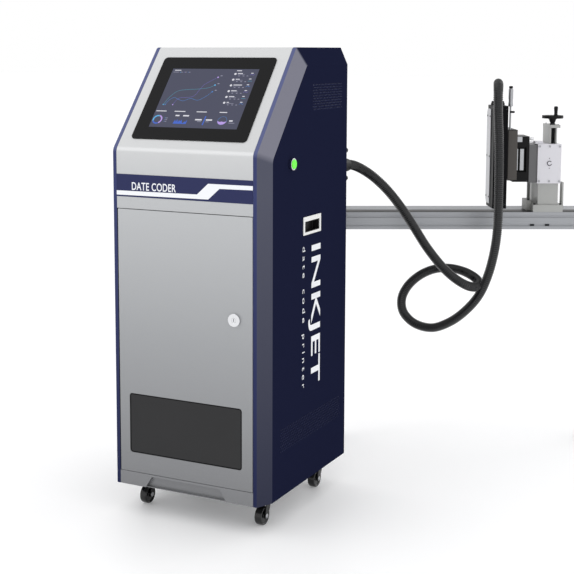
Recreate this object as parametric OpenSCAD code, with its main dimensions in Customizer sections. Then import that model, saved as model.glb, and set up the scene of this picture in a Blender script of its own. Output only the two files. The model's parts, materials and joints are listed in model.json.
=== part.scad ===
// Date code inkjet printer: ink cabinet on castors, umbilical hose,
// and a print head with its height adjuster on a short aluminium rail.

/* [Cabinet] */
// Width over both side panels
cab_w = 520; // [460:1:640]
// Depth from the front face to the rear panel
cab_d = 570; // [520:1:700]
// Height of the body above its castors
cab_h = 1302; // [1250:1:1400]
// Height above the underside at which the front starts to lean back
bend_h = 1008; // [960:1:1040]
// Distance from the front at which the leaning face meets the top
slope_d = 250; // [200:1:300]
// Width of the silver front between the side panels
front_w = 450; // [420:1:456]
// Width of the bevel down the front of each side panel
bevel_w = 23.5; // [15:0.5:30]
// Depth of that bevel, and of the one along the top
bevel_d = 52; // [30:1:60]
// Sheet thickness of the panels
sheet_t = 2.5; // [1.5:0.5:4]
// Radius of the bend at the foot of the leaning face
bend_r = 28; // [10:1:40]

/* [Door] */
// Height of the kick panel below the door
kick_h = 42; // [30:1:60]
// Height above the underside at which the door ends
door_top = 834; // [780:1:850]
// Thickness of the door
door_t = 20; // [16:1:26]
// Gap around the door
door_gap = 1.5; // [1:0.5:3]
// Width of the black window
window_w = 378; // [300:1:400]
// Height of the black window
window_h = 181; // [120:1:220]
// Height of the window's lower edge above the underside
window_z = 102; // [80:1:200]
// Diameter of the lock's face
lock_d = 38; // [28:1:44]
// Distance of the lock from the centre line
lock_x = 166; // [140:1:180]
// Height of the lock above the underside
lock_z = 538; // [420:1:620]

/* [Front] */
// Height of the lower edge of the coloured band
band_z = 870; // [850:1:880]
// Height of the coloured band
band_h = 66; // [40:1:80]
// Width of the screen's bezel
bezel_w = 380; // [340:1:400]
// Height of the screen's bezel, measured up the slope
bezel_h = 306; // [280:1:320]
// Width of the picture area
screen_w = 291; // [240:1:300]
// Height of the picture area
screen_h = 219; // [180:1:225]

/* [Right side] */
// Distance of the push button from the front
button_y = 168; // [120:1:220]
// Height of the push button above the underside
button_z = 970; // [900:1:1000]
// Diameter of the push button's barrel
button_d = 35; // [30:1:40]
// Width of the data port's frame
port_w = 122; // [100:1:140]
// Height of the data port's frame
port_h = 54; // [44:1:70]

/* [Castors] */
// Height of the castors
castor_h = 92; // [88:1:110]
// Diameter of the wheels
wheel_d = 56; // [50:1:60]
// Width of the wheels
wheel_w = 23; // [18:1:26]
// Distance of the wheel's axle from the swivel's axis
castor_trail = 24; // [18:1:30]

/* [Rail and head] */
// Angle of the rail to the cabinet's back
rail_a = 27.5; // [20:0.5:35]
// Length of the rail
rail_l = 990; // [900:10:1200]
// Height of the rail's top face above the floor
rail_top = 830; // [780:1:860]
// Height of the rail's section
rail_h = 60; // [50:1:80]
// Width of the rail's section
rail_d = 180; // [150:30:210]
// Travel of the carriage down from its top position
lift_travel = 50; // [10:1:60]
// Travel of the fine slide up and down from its middle
fine_travel = 5; // [2:1:5]
// Diameter of the handwheel
handwheel_d = 72; // [60:1:90]
// Width of the print head
head_w = 47; // [40:1:50]
// Depth of the print head
head_d = 115; // [105:1:120]
// Height of the print head
head_h = 345; // [320:1:360]
// Outer diameter of the umbilical hose
hose_d = 32; // [24:1:32]

/* [Hidden] */

eps = 0.01;
fit = 0.06;            // radial clearance of a shaft that turns in its hole
air = 0.3;             // clearance between faces that pass each other
navy = [0.09, 0.10, 0.20];
silver = [0.68, 0.69, 0.70];

// Cabinet
half_w = cab_w / 2;
half_f = front_w / 2;
strip_x = half_w - bevel_w;                       // where the bevel begins
slope_a = atan2(slope_d, cab_h - bend_h);         // lean of the sloping face from upright
slope_l = norm([slope_d, cab_h - bend_h]);
top_r = 16;                                       // radius where the slope meets the top
side_bend = bend_h - bevel_d * tan(slope_a / 2);  // bend of the side panel's flat face
side_top = cab_h - bevel_d;
side_slope_y = bevel_d + (side_top - side_bend) * tan(slope_a);
fascia_z = door_top + door_gap / 2 + 0.5;
fascia_end = slope_d + 40;                        // the silver sheet runs this far onto the top
inner_x = half_w - sheet_t - 0.2;                 // inside faces of the side panels
bezel_low = (slope_l - bezel_h) / 2 - 1;          // the bezel's lower edge, up the slope
bezel_t = 3;
lock_proud = 6;
lock_barrel = 11;                                 // radius of its hole in the door
plug_r = 7;
port_y = cab_d - 320;
port_z = 752;
gland_x = 232;
gland_z = 930;
gland_l = 60;
gland_d = 46;
inlet_x = -192;                                   // left edge of the mains inlet's cut-out
fan_z = 1120;
fan_w = 120;
fan_t = 38;
fan_y = cab_d - sheet_t - fan_t;
fan_hole = 58;
fan_r = 55;                                       // radius of the fan's bore
fan_hub = 20;
fan_pin = 3;

// Door
door_w = front_w - 2 * door_gap;
door_low = kick_h + door_gap / 2;
door_high = door_top - door_gap / 2;
hinge_x = -half_f + 8;
hinge_y = 6;
hinge_r = 4;
door_skin = 2;

// Frame and shelves
post = 25;
post_front = door_t + 10;                         // front face of the front posts
front_top = 985;                                  // upper end of the front posts
rear_top = cab_h - sheet_t - 1;                   // upper end of the rear posts
tray_t = 3;
post_x = half_f - tray_t;                         // outer face of the posts
rear_post_y = cab_d - sheet_t - tray_t - air - post;
shelf_t = 2;
shelf_low = 300;
shelf_high = 610;

// Castors: front and rear swivel axes
castor_x = 198;
castor_y = [132, 500];
plate_w = 60;
castor_bolt = 20;                                 // from the swivel axis to each bolt, both ways
pin_r = 5;
fork_top = castor_h - 11.3;

// Rail group, in the rail's own frame: along, across, up
rail_x = 450;
rail_y = 760;
clamp_x = 1168;
clamp_w = 103;
clamp_h = 25;
block_x = clamp_x + 11;
block_w = 81;
block_d = 145;
block_h = 136;
block_z = rail_top + clamp_h + 75;
block_wall = 5;
block_top_t = 14;
pedestal_gap = 1;
screw_y = rail_y + 30;
screw_r = 5;
column_x = block_x + 43;
column_w = 24;
column_y = rail_y + 10;
column_d = 108;
column_wall = 4;
screw_x = column_x + column_w / 2;
cap_t = 10;
cap_z = block_z + block_h + 55;
pedestal_top = block_z + block_h - block_top_t - lift_travel - 42;
head_x = 1003;
head_y = rail_y - head_d - 10;
head_z = rail_top + 27;
fine_x = head_x + head_w;
fine_plate_t = 12;
fine_base_w = 32;
fine_y = head_y + 55;
fine_d = 150;
fine_h = 172;
fine_z = block_z + 17;
slide_x = fine_x + fine_plate_t + fine_base_w;
slide_w = 56;
slide_y = rail_y;
slide_d = 100;
slide_z = block_z + 5;
slide_h = 157;
fine_screw_x = fine_x + fine_plate_t + 9;
hose_x = 1026;                                    // where the hose comes down into the head
head_gland_y = head_y + 65;
head_gland_h = 14;
hose_bore = hose_d / 2 + 0.5;
post_w = 30;                                      // the rail's posts are twice as deep as wide
foot_t = 12;
foot_w = 76;
foot_bolt = 28;                                   // from the foot's middle to each bolt, both ways

// Route of the hose in the rail's frame, from the cabinet to the head:
// it leaves along the cabinet's depth, makes one loose loop, climbs past the
// rail and turns over into the top of the head.
HOSE = [
  [483, 425, 1022], [508, 473, 1021], [535, 505, 1012], [580, 533, 985], [633, 551, 938],
  [680, 560, 882], [724, 563, 818], [775, 561, 738], [828, 556, 672], [870, 553, 634],
  [910, 558, 610], [944, 585, 600], [964, 632, 603], [958, 685, 614], [927, 725, 628],
  [880, 742, 637], [825, 740, 633], [774, 724, 614], [730, 700, 580], [708, 676, 541],
  [712, 655, 500], [748, 636, 465], [805, 621, 453], [863, 610, 475], [917, 602, 518],
  [959, 597, 572], [987, 595, 640], [1005, 595, 715], [1014, 595, 790], [1016, 595, 870],
  [1016, 595, 950], [1015, 595, 1030], [1012, 595, 1110], [1008, 595, 1180], [1007, 595, 1225],
  [1008, 602, 1251], [1012, 621, 1270], [1016, 647, 1277], [1021, 674, 1270], [1025, 693, 1251],
  [1026, 700, 1225], [1026, 700, 1190], [1026, 700, 1150]];

// The origin is under the middle of the whole outline, without the hose
rail_end = [(rail_x + rail_l) * cos(rail_a) - rail_y * sin(rail_a),
            (rail_x + rail_l) * sin(rail_a) + (rail_y + rail_d) * cos(rail_a)];
origin = [(rail_end.x - half_w) / 2, (rail_end.y - lock_proud) / 2];

// ---- helpers ----
module placed() { translate([-origin.x, -origin.y, 0]) children(); }
module cabinet() { placed() translate([0, 0, castor_h]) children(); }
module rail_frame() { placed() rotate([0, 0, rail_a]) children(); }
module on_slope() { translate([0, 0, bend_h]) rotate([-slope_a, 0, 0]) children(); }
module both_sides() { children(); mirror([1, 0, 0]) children(); }
module box(low, size) { translate(low) cube(size); }
module rod(from, r, h) { translate(from) cylinder(r = r, h = h, $fn = 48); }
module rod_x(from, r, h) { translate(from) rotate([0, 90, 0]) cylinder(r = r, h = h, $fn = 48); }
module rod_y(from, r, h) { translate(from) rotate([-90, 0, 0]) cylinder(r = r, h = h, $fn = 48); }

// A rectangle with round corners from two squares and four circles
module round_rect(w, h, r) {
  translate([r, 0]) square([w - 2 * r, h]);
  translate([0, r]) square([w, h - 2 * r]);
  for (x = [r, w - r], y = [r, h - r]) translate([x, y]) circle(r = r, $fn = 32);
}
// The same standing on its edge, thick along Y, with its lower left corner at from
module upright(from, w, h, r, t) {
  translate(from + [0, t, 0]) rotate([90, 0, 0]) linear_extrude(t) round_rect(w, h, r);
}

function unit(v) = v / norm(v);
// Points of an arc that rounds the corner c between its neighbours p and n
function rounded(p, c, n, r, steps = 6) =
  let (u = unit(p - c), w = unit(n - c), half = acos(u * w) / 2,
       o = c + unit(u + w) * r / sin(half), reach = r / tan(half),
       s = c + u * reach - o, e = c + w * reach - o,
       a = atan2(s.y, s.x), turn = atan2(s.x * e.y - s.y * e.x, s * e))
  [for (i = [0:steps]) o + r * [cos(a + turn * i / steps), sin(a + turn * i / steps)]];

// Outline of the whole side, in depth and height, and of its flat face
function side_outline(back) =
  let (low = [0, 0], bend = [0, bend_h], top = [slope_d, cab_h], rear = [back, cab_h])
  concat([[back, 0], low], rounded(low, bend, top, bend_r), rounded(bend, top, rear, top_r), [rear]);
function face_outline(back) =
  let (low = [bevel_d, 0], bend = [bevel_d, side_bend], top = [side_slope_y, side_top],
       rear = [back, side_top])
  concat([[back, 0], low], rounded(low, bend, top, bend_r), rounded(bend, top, rear, top_r), [rear]);

module slab(x, t) { translate([x, 0, 0]) rotate([90, 0, 90]) linear_extrude(t) children(); }

// ---- cabinet shell ----
module side_shell() {
  back = cab_d + 2 * sheet_t;
  difference() {
    hull() {
      slab(half_f, strip_x - half_f) polygon(side_outline(cab_d));
      slab(half_w - eps, eps) polygon(face_outline(cab_d));
    }
    hull() {
      slab(half_f - 1, strip_x - half_f + 1 - sheet_t / 2) offset(delta = -sheet_t)
        polygon(side_outline(back));
      slab(half_w - sheet_t - eps, eps) offset(delta = -sheet_t) polygon(face_outline(back));
    }
  }
}

module side_panel_left() {
  color(navy) cabinet() mirror([1, 0, 0]) side_shell();
}

module side_panel_right() {
  color(navy) cabinet() difference() {
    side_shell();
    rod_x([half_w - 10, button_y, button_z], button_d / 2 - 2.5 + fit, 20);
    box([half_w - 10, port_y + 3, port_z + 3], [20, port_w - 6, port_h - 6]);
  }
}

module rear_panel() {
  top = cab_h - sheet_t - 0.2;
  corner = side_top - sheet_t;
  color(navy) cabinet() difference() {
    translate([0, cab_d, 0]) rotate([90, 0, 0]) linear_extrude(sheet_t) polygon([
      [-inner_x, sheet_t + 0.2], [inner_x, sheet_t + 0.2], [inner_x, corner],
      [half_f, top], [-half_f, top], [-inner_x, corner]]);
    rod_y([gland_x, cab_d - 10, gland_z], gland_d / 2 - 7, 20);
    rod_y([0, cab_d - 10, fan_z], fan_hole, 20);
    box([inlet_x, cab_d - 10, 146], [90, 20, 48]);
    for (z = [gland_z - 38, gland_z + 50]) rod_y([half_w - 14, cab_d - 10, z], 5, 20);
  }
}

module top_cover() {
  color(navy) cabinet() box([-half_f + 0.2, fascia_end + 0.5, cab_h - sheet_t],
    [front_w - 0.4, cab_d - fascia_end - 0.5, sheet_t]);
}

// Silver sheet: up the front, round the bend, up the slope and onto the top
module front_fascia() {
  low = [0, fascia_z];
  bend = [0, bend_h];
  top = [slope_d, cab_h];
  rear = [fascia_end, cab_h];
  inner_bend = [sheet_t, bend_h - sheet_t * tan(slope_a / 2)];
  inner_top = [slope_d + sheet_t * tan(45 - slope_a / 2), cab_h - sheet_t];
  inner_low = [sheet_t, fascia_z];
  inner_rear = [fascia_end, cab_h - sheet_t];
  outer = concat([low], rounded(low, bend, top, bend_r), rounded(bend, top, rear, top_r), [rear]);
  inner = concat([inner_low], rounded(inner_low, inner_bend, inner_top, bend_r - sheet_t),
    rounded(inner_bend, inner_top, inner_rear, top_r - sheet_t), [inner_rear]);
  color(silver) cabinet() difference() {
    slab(-half_f + 0.2, front_w - 0.4)
      polygon(concat(outer, [for (i = [len(inner) - 1:-1:0]) inner[i]]));
    on_slope() upright([-bezel_w / 2 + 6, -10, bezel_low + 6], bezel_w - 12, bezel_h - 12, 6, 30);
  }
}

module front_band() {
  color([0.16, 0.19, 0.38]) cabinet()
    box([-half_f + 0.2, -0.8, band_z], [front_w - 0.4, 0.8, band_h]);
}

// The recess in the kick panel is a shallow trapezoid with a sloping back
module kick_panel() {
  recess = 34;
  color(silver) cabinet() difference() {
    box([-half_f + 0.2, 0, 0], [front_w - 0.4, door_t + 2, kick_h - door_gap / 2]);
    box([-half_f + 4, sheet_t, sheet_t], [front_w - 8, door_t + 2, kick_h]);
    translate([0, -1, 0]) rotate([-90, 0, 0]) linear_extrude(sheet_t + 2)
      polygon([[-137, 1], [-115, -recess], [115, -recess], [137, 1]]);
  }
  color(silver) cabinet() difference() {
    translate([0, sheet_t, 0]) rotate([-90, 0, 0]) linear_extrude(14)
      polygon([[-141, 0], [-118, -recess - 3], [118, -recess - 3], [141, 0]]);
    translate([0, sheet_t - 1, 0]) rotate([-90, 0, 0]) linear_extrude(12)
      polygon([[-137, 1], [-115, -recess], [115, -recess], [137, 1]]);
  }
}

module base_tray() {
  y0 = door_t + 2.5;
  depth = cab_d - sheet_t - y0 - 0.3;
  color([0.3, 0.3, 0.32]) cabinet() difference() {
    box([-half_f + 0.3, y0, 0], [front_w - 0.6, depth, 20]);
    box([-half_f + tray_t, y0 + tray_t, tray_t], [front_w - 2 * tray_t, depth - 2 * tray_t, 20]);
    for (x = [-1, 1], y = castor_y, dx = [-castor_bolt, castor_bolt], dy = [-castor_bolt, castor_bolt])
      rod([x * castor_x + dx, y + dy, -1], 3.5, 10);
  }
}

module frame_posts() {
  wall = 3;
  color([0.45, 0.46, 0.48]) cabinet() both_sides()
    for (p = [[post_front, front_top], [rear_post_y, rear_top]]) difference() {
      box([post_x - post, p[0], tray_t], [post, post, p[1] - tray_t]);
      box([post_x - post + wall, p[0] + wall, tray_t - 1],
        [post - 2 * wall, post - 2 * wall, p[1]]);
    }
}

// Flat bars between the posts
module frame_bars() {
  bar = 4;
  side_z = front_top - post;
  color([0.45, 0.46, 0.48]) cabinet() {
    both_sides()
      box([post_x - bar, post_front + post, side_z],
        [bar, rear_post_y - post_front - post, post]);
    box([-post_x + post, post_front, side_z], [2 * (post_x - post), bar, post]);
    box([-post_x + post, rear_post_y + post - bar, rear_top - post],
      [2 * (post_x - post), bar, post]);
  }
}

module shelves() {
  color([0.55, 0.56, 0.58]) cabinet() for (z = [shelf_low, shelf_high])
    box([-post_x + post + 0.3, post_front + 6, z],
      [2 * (post_x - post) - 0.6, rear_post_y + post - post_front - 8, shelf_t]);
}

// ---- screen ----
module screen_bezel() {
  color([0.03, 0.03, 0.04]) cabinet() on_slope() difference() {
    upright([-bezel_w / 2, -bezel_t, bezel_low], bezel_w, bezel_h, 12, bezel_t);
    box([-screen_w / 2, -bezel_t - 1, bezel_low + (bezel_h - screen_h) / 2],
      [screen_w, bezel_t + 2, screen_h]);
  }
}

module screen_panel() {
  color([0.2, 0.22, 0.36]) cabinet() on_slope()
    box([-screen_w / 2 + 0.2, -bezel_t + 0.6, bezel_low + (bezel_h - screen_h) / 2 + 0.2],
      [screen_w - 0.4, bezel_t - 0.6, screen_h - 0.4]);
}

module controller_box() {
  color([0.35, 0.36, 0.38]) cabinet() on_slope()
    box([-bezel_w / 2 + 14, 0, bezel_low + 14], [bezel_w - 28, 32, bezel_h - 28]);
}

// ---- right side ----
module button_barrel() {
  color("silver") cabinet() difference() {
    union() {
      rod_x([half_w, button_y, button_z], button_d / 2, 10);
      rod_x([half_w - 28, button_y, button_z], button_d / 2 - 2.5, 28);
    }
    rod_x([half_w - 30, button_y, button_z], button_d / 2 - 4, 50);
  }
}

module button_cap() {
  color([0.1, 0.8, 0.3]) cabinet()
    rod_x([half_w - 12, button_y, button_z], button_d / 2 - 4 - fit, 25);
}

module data_port() {
  color("white") cabinet() difference() {
    union() {
      box([half_w, port_y, port_z], [3, port_w, port_h]);
      box([half_w - 24, port_y + 3.2, port_z + 3.2], [24, port_w - 6.4, port_h - 6.4]);
    }
    box([half_w - 22, port_y + 9.5, port_z + 8], [30, port_w - 19, port_h - 22]);
  }
}

// ---- rear ----
module rear_gland() {
  color([0.05, 0.05, 0.06]) cabinet() difference() {
    union() {
      rod_y([gland_x, cab_d - 5.5, gland_z], gland_d / 2 - 7.1, 5.5);
      rod_y([gland_x, cab_d, gland_z], gland_d / 2, 22);
      rod_y([gland_x, cab_d + 22, gland_z], gland_d / 2 - 2, gland_l - 22);
    }
    rod_y([gland_x, cab_d + 6, gland_z], hose_bore, gland_l);
  }
}

// Signal sockets beside the gland and the mains inlet low on the left
module rear_connectors() {
  inlet = [inlet_x + 0.2, cab_d - 12, 146.2];
  color([0.08, 0.08, 0.09]) cabinet() {
    for (z = [gland_z - 38, gland_z + 50]) {
      rod_y([half_w - 14, cab_d - 8, z], 4.9, 8);
      rod_y([half_w - 14, cab_d, z], 8, 26);
    }
    difference() {
      union() {
        box(inlet, [89.6, 12, 47.6]);
        box([inlet_x - 4, cab_d, 142], [98, 3, 56]);
      }
      box([inlet_x + 7, cab_d - 10, 154], [44, 20, 32]);
      box([inlet_x + 64, cab_d - 10, 159.5], [20, 20, 21]);
    }
  }
}

module mains_switch() {
  color([0.6, 0.08, 0.06]) cabinet() intersection() {
    rod_x([inlet_x + 64.6, cab_d - 2, 170], 10, 18.8);
    box([inlet_x + 64, cab_d - 8, 150], [20, 13, 40]);
  }
}

// Cooling fan: the frame with its guard and the struts that hold the motor
module rear_fan() {
  wire = 1.6;
  guard_y = cab_d + 0.7;
  color([0.1, 0.1, 0.11]) cabinet() {
    difference() {
      union() {
        box([-fan_w / 2, fan_y, fan_z - fan_w / 2], [fan_w, fan_t, fan_w]);
        rod_y([0, cab_d - sheet_t - 1, fan_z], fan_hole - 0.1, sheet_t + 1.5);
        rod_y([0, cab_d, fan_z], fan_hole + 2.5, 1.5);
      }
      rod_y([0, fan_y - 1, fan_z], fan_r, fan_t + 20);
    }
    for (r = [26, 40, 53]) rod_ring([0, guard_y, fan_z], r, wire);
    for (a = [45:90:315]) translate([0, guard_y, fan_z]) rotate([0, a, 0])
      box([0, -wire / 2, -wire / 2], [fan_r + 1, wire, wire]);
    difference() {
      union() {
        rod_y([0, fan_y, fan_z], fan_hub, 3);
        for (a = [0:90:270]) translate([0, fan_y, fan_z]) rotate([0, a, 0])
          box([fan_hub - 3, 0, -2], [fan_r - fan_hub + 4, 3, 4]);
      }
      rod_y([0, fan_y - 1, fan_z], fan_pin + fit, 5);
    }
  }
}

module fan_rotor() {
  color([0.1, 0.1, 0.11]) cabinet() {
    rod_y([0, fan_y - 0.5, fan_z], fan_pin, 6);
    rod_y([0, fan_y + 4, fan_z], fan_hub, 26);
    for (a = [0:45:315]) translate([0, fan_y + 17, fan_z]) rotate([0, a, 0]) rotate([35, 0, 0])
      box([fan_hub - 2, -8, -1], [34, 16, 2]);
  }
}

// A flat ring of square wire, standing on its edge
module rod_ring(centre, r, w) {
  difference() {
    rod_y(centre - [0, w / 2, 0], r + w / 2, w);
    rod_y(centre - [0, w, 0], r - w / 2, 2 * w);
  }
}

// ---- fluids and electronics ----
module tank(x, z) {
  union() {
    box([x, 130, z], [130, 260, 190]);
    rod([x + 65, 190, z + 190], 22, 14);
    rod([x + 65, 190, z + 204], 27, 16);
  }
}
// Ink at the left, solvent at the right
module fluid_tanks() {
  color([0.1, 0.1, 0.12]) cabinet() for (x = [-175, 45]) tank(x, tray_t);
}

module fluid_pump() {
  z = shelf_low + shelf_t;
  color([0.5, 0.5, 0.52]) cabinet() {
    box([-160, 180, z], [110, 90, 8]);
    rod_y([-105, 160, z + 48], 40, 130);
  }
}

module valve_block() {
  z = shelf_low + shelf_t;
  color([0.7, 0.7, 0.72]) cabinet() {
    box([20, 200, z], [140, 50, 60]);
    for (x = [40:30:130]) box([x - 10, 205, z + 60], [20, 40, 34]);
    rod([120, 330, z], 32, 130);
  }
}

module fluid_tubes() {
  z = shelf_low + shelf_t;
  color([0.2, 0.2, 0.22]) cabinet() {
    rod([-110, 310, tray_t + 190], 5, shelf_low - tray_t - 190);
    rod([110, 310, tray_t + 190], 5, shelf_low - tray_t - 190);
    rod_x([-65, 225, z + 30], 5, 85);
    rod([120, 225, z + 94], 5, shelf_high - shelf_low - shelf_t - 94);
  }
}

module power_supply() {
  z = shelf_high + shelf_t;
  color([0.65, 0.66, 0.68]) cabinet() box([-170, 150, z], [110, 220, 55]);
}

module control_board() {
  z = shelf_high + shelf_t;
  color([0.05, 0.3, 0.15]) cabinet() {
    box([-30, 130, z + 10], [190, 260, 2]);
    for (x = [-22, 152], y = [138, 382]) rod([x, y, z], 3, 10);
    box([10, 180, z + 12], [60, 60, 14]);
    box([95, 170, z + 12], [20, 90, 12]);
    box([-20, 300, z + 12], [150, 25, 16]);
  }
}

// ---- door ----
module door_plan(w, t, r) {
  translate([-w / 2, r]) square([w, t - r]);
  translate([-w / 2 + r, 0]) square([w - 2 * r, t]);
  for (x = [-1, 1]) translate([x * (w / 2 - r), r]) circle(r = r, $fn = 32);
}

module door() {
  h = door_high - door_low;
  block = 16;
  color(silver) cabinet() difference() {
    union() {
      difference() {
        translate([0, 0, door_low]) linear_extrude(h) door_plan(door_w, door_t, 3);
        box([-door_w / 2 + door_skin, door_skin, door_low + door_skin],
          [door_w - 2 * door_skin, door_t, h - 2 * door_skin]);
      }
      for (z = [door_low + door_skin, door_high - door_skin - block])
        box([-door_w / 2 + door_skin, door_skin, z], [14, 14, block]);
    }
    for (z = [door_low - 1, door_high - door_skin - block - 1])
      rod([hinge_x, hinge_y, z], hinge_r + fit, block + door_skin + 2);
    upright([-window_w / 2, -1, window_z], window_w, window_h, 9, door_skin + 2);
    rod_y([lock_x, -1, lock_z], lock_barrel, 5);
  }
}

module door_window() {
  color([0.05, 0.05, 0.055]) cabinet() {
    upright([-window_w / 2 + 0.3, 0.8, window_z + 0.3], window_w - 0.6, window_h - 0.6, 9, 1.2);
    upright([-window_w / 2 - 8, door_skin, window_z - 8], window_w + 16, window_h + 16, 9, 2.5);
  }
}

module door_lock() {
  color("silver") cabinet() difference() {
    union() {
      rod_y([lock_x, -lock_proud, lock_z], lock_d / 2, lock_proud);
      rod_y([lock_x, 0, lock_z], lock_barrel - 0.1, door_t - 2);
    }
    rod_y([lock_x, -lock_proud - 1, lock_z], plug_r + fit, door_t + lock_proud + 2);
  }
}

// The plug turns with the key and carries the tongue that grips the frame's lip
module lock_plug() {
  color([0.8, 0.8, 0.82]) cabinet() difference() {
    union() {
      rod_y([lock_x, -lock_proud + 0.5, lock_z], plug_r, door_t + 13);
      box([lock_x - 8, door_t + 3.8, lock_z - 8], [16, 2.4, 58]);
    }
    box([lock_x - 1, -lock_proud - 1, lock_z - 4.5], [2, 8, 9]);
  }
}

// Pivot brackets below and above the door, and the keeper that the lock's tongue turns behind
module door_brackets() {
  keeper_h = 40;
  color([0.7, 0.7, 0.72]) cabinet() {
    for (side = [0, 1]) {
      z = side == 0 ? door_low - 4.8 : door_high + 0.8;
      pin = side == 0 ? z + 3.5 : z - 14;
      box([hinge_x - 3.7, sheet_t + 0.1, z], [18, post_front - sheet_t - 0.1, 4]);
      rod([hinge_x, hinge_y, pin], hinge_r, 15);
    }
    box([post_x - 19, door_t + 1, lock_z - keeper_h / 2], [19, 2, keeper_h]);
    box([post_x - 3, door_t + 2, lock_z - keeper_h / 2], [3, post_front - door_t - 2, keeper_h]);
  }
}

// ---- castors ----
function castor_at(i) = [(i % 2 == 0 ? -1 : 1) * castor_x, castor_y[floor(i / 2)], 0];

module castor_plates() {
  color([0.12, 0.12, 0.13]) placed() for (i = [0:3]) translate(castor_at(i)) difference() {
    union() {
      box([-plate_w / 2, -plate_w / 2, castor_h - 3], [plate_w, plate_w, 3]);
      rod([0, 0, fork_top + 0.3], 20, castor_h - 3 - fork_top - 0.3);
      rod([0, 0, fork_top - 14], pin_r, 15);
      rod([0, 0, fork_top - 14], 8, 5.6);
    }
    for (x = [-castor_bolt, castor_bolt], y = [-castor_bolt, castor_bolt])
      rod([x, y, castor_h - 10], 3.5, 20);
  }
}

module castor_fork(i) {
  inner = wheel_w / 2 + 0.8;
  leg = 3;
  color([0.1, 0.1, 0.11]) placed() translate(castor_at(i)) difference() {
    union() {
      rod([0, 0, fork_top - 8], 21, 8);
      for (x = [-inner - leg, inner]) hull() {
        box([x, -14, fork_top - 8], [leg, 28, 7]);
        rod_x([x, -castor_trail, wheel_d / 2], 9, leg);
      }
      rod_x([-inner - 1, -castor_trail, wheel_d / 2], 4, 2 * inner + 2);
    }
    rod([0, 0, fork_top - 20], pin_r + fit, 30);
  }
}

module castor_wheel(i) {
  edge = 2;
  color([0.03, 0.03, 0.035]) placed() translate(castor_at(i) + [0, -castor_trail, wheel_d / 2])
    rotate([0, 90, 0]) difference() {
      union() {
        translate([0, 0, -wheel_w / 2 + edge]) cylinder(d = wheel_d, h = wheel_w - 2 * edge, $fn = 64);
        translate([0, 0, -wheel_w / 2]) cylinder(d = wheel_d - 2 * edge, h = wheel_w, $fn = 64);
      }
      for (z = [-wheel_w / 2 - 1, wheel_w / 2 - 3]) translate([0, 0, z]) difference() {
        cylinder(d = wheel_d - 12, h = 4, $fn = 64);
        translate([0, 0, -1]) cylinder(d = 18, h = 6, $fn = 48);
      }
      translate([0, 0, -wheel_w]) cylinder(r = 4 + fit, h = 2 * wheel_w, $fn = 48);
    }
}

// ---- rail ----
module rail() {
  color([0.72, 0.73, 0.75]) rail_frame() difference() {
    box([rail_x, rail_y, rail_top - rail_h], [rail_l, rail_d, rail_h]);
    for (z = [rail_h / 4, rail_h * 3 / 4]) for (y = [-1, rail_d - 5])
      box([rail_x - 1, rail_y + y, rail_top - z - 4], [rail_l + 2, 6, 8]);
    for (y = [75:30:rail_d - 15])
      box([rail_x - 1, rail_y + y - 4, rail_top - 5], [rail_l + 2, 8, 6]);
    for (y = [15:30:rail_d - 15])
      box([rail_x - 1, rail_y + y - 4, rail_top - rail_h - 1], [rail_l + 2, 8, 6]);
  }
}

module rail_strip() {
  color([0.05, 0.05, 0.055]) rail_frame() {
    box([rail_x, rail_y + 2, rail_top], [clamp_x - rail_x - 0.5, 58, 1.5]);
    box([clamp_x + clamp_w + 0.5, rail_y + 2, rail_top],
      [rail_x + rail_l - clamp_x - clamp_w - 0.5, 58, 1.5]);
  }
}

module rail_post(x) {
  y = rail_y + rail_d / 2;
  color([0.72, 0.73, 0.75]) rail_frame() {
    box([x - post_w / 2, y - post_w, foot_t], [post_w, 2 * post_w, rail_top - rail_h - foot_t]);
    difference() {
      box([x - foot_w / 2, y - foot_w / 2, 0], [foot_w, foot_w, foot_t]);
      for (dx = [-1, 1], dy = [-1, 1])
        rod([x + dx * foot_bolt, y + dy * foot_bolt, -1], 4.5, foot_t + 2);
    }
  }
}

module rail_posts() {
  rail_post(rail_x + 20);
  rail_post(rail_x + rail_l - 25);
}

// ---- height adjuster ----
module rail_clamp() {
  color([0.86, 0.87, 0.87]) rail_frame() {
    difference() {
      box([clamp_x, rail_y, rail_top], [clamp_w, rail_d, clamp_h]);
      box([clamp_x - 1, rail_y + 60, rail_top + 12], [12, rail_d - 80, clamp_h]);
    }
    // bent guard at the right
    box([clamp_x + clamp_w, rail_y + 20, rail_top + 4], [6, 30, 98]);
  }
}

// Pedestal inside the carriage, the channel above it and the plate on top
module guide_column() {
  inset = block_wall + pedestal_gap;
  foot = rail_top + clamp_h;
  top = pedestal_top;
  color([0.88, 0.89, 0.89]) rail_frame() difference() {
    union() {
      box([block_x + inset, rail_y + 6, foot],
        [block_w - 2 * inset, block_d - 12, top - foot]);
      difference() {
        box([column_x, column_y, top], [column_w, column_d, cap_z - top]);
        box([column_x + column_wall, column_y - 1, top - eps],
          [column_w - 2 * column_wall, column_d - column_wall + 1, cap_z - top + 2 * eps]);
      }
      box([column_x, column_y - 4, cap_z], [34, column_d + 6, cap_t]);
    }
    rod([screw_x, screw_y, top - 12], screw_r + fit, cap_z + cap_t - top + 30);
    rod([screw_x, screw_y, cap_z - 1], screw_r + fit, cap_t + 2);
  }
}

module lead_screw() {
  low = pedestal_top - 11;
  color([0.15, 0.15, 0.16]) rail_frame() union() {
    rod([screw_x, screw_y, low], screw_r, cap_z + cap_t + 24 - low);
    rod([screw_x, screw_y, cap_z + cap_t + air], screw_r + 4, 5);
  }
}

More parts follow.
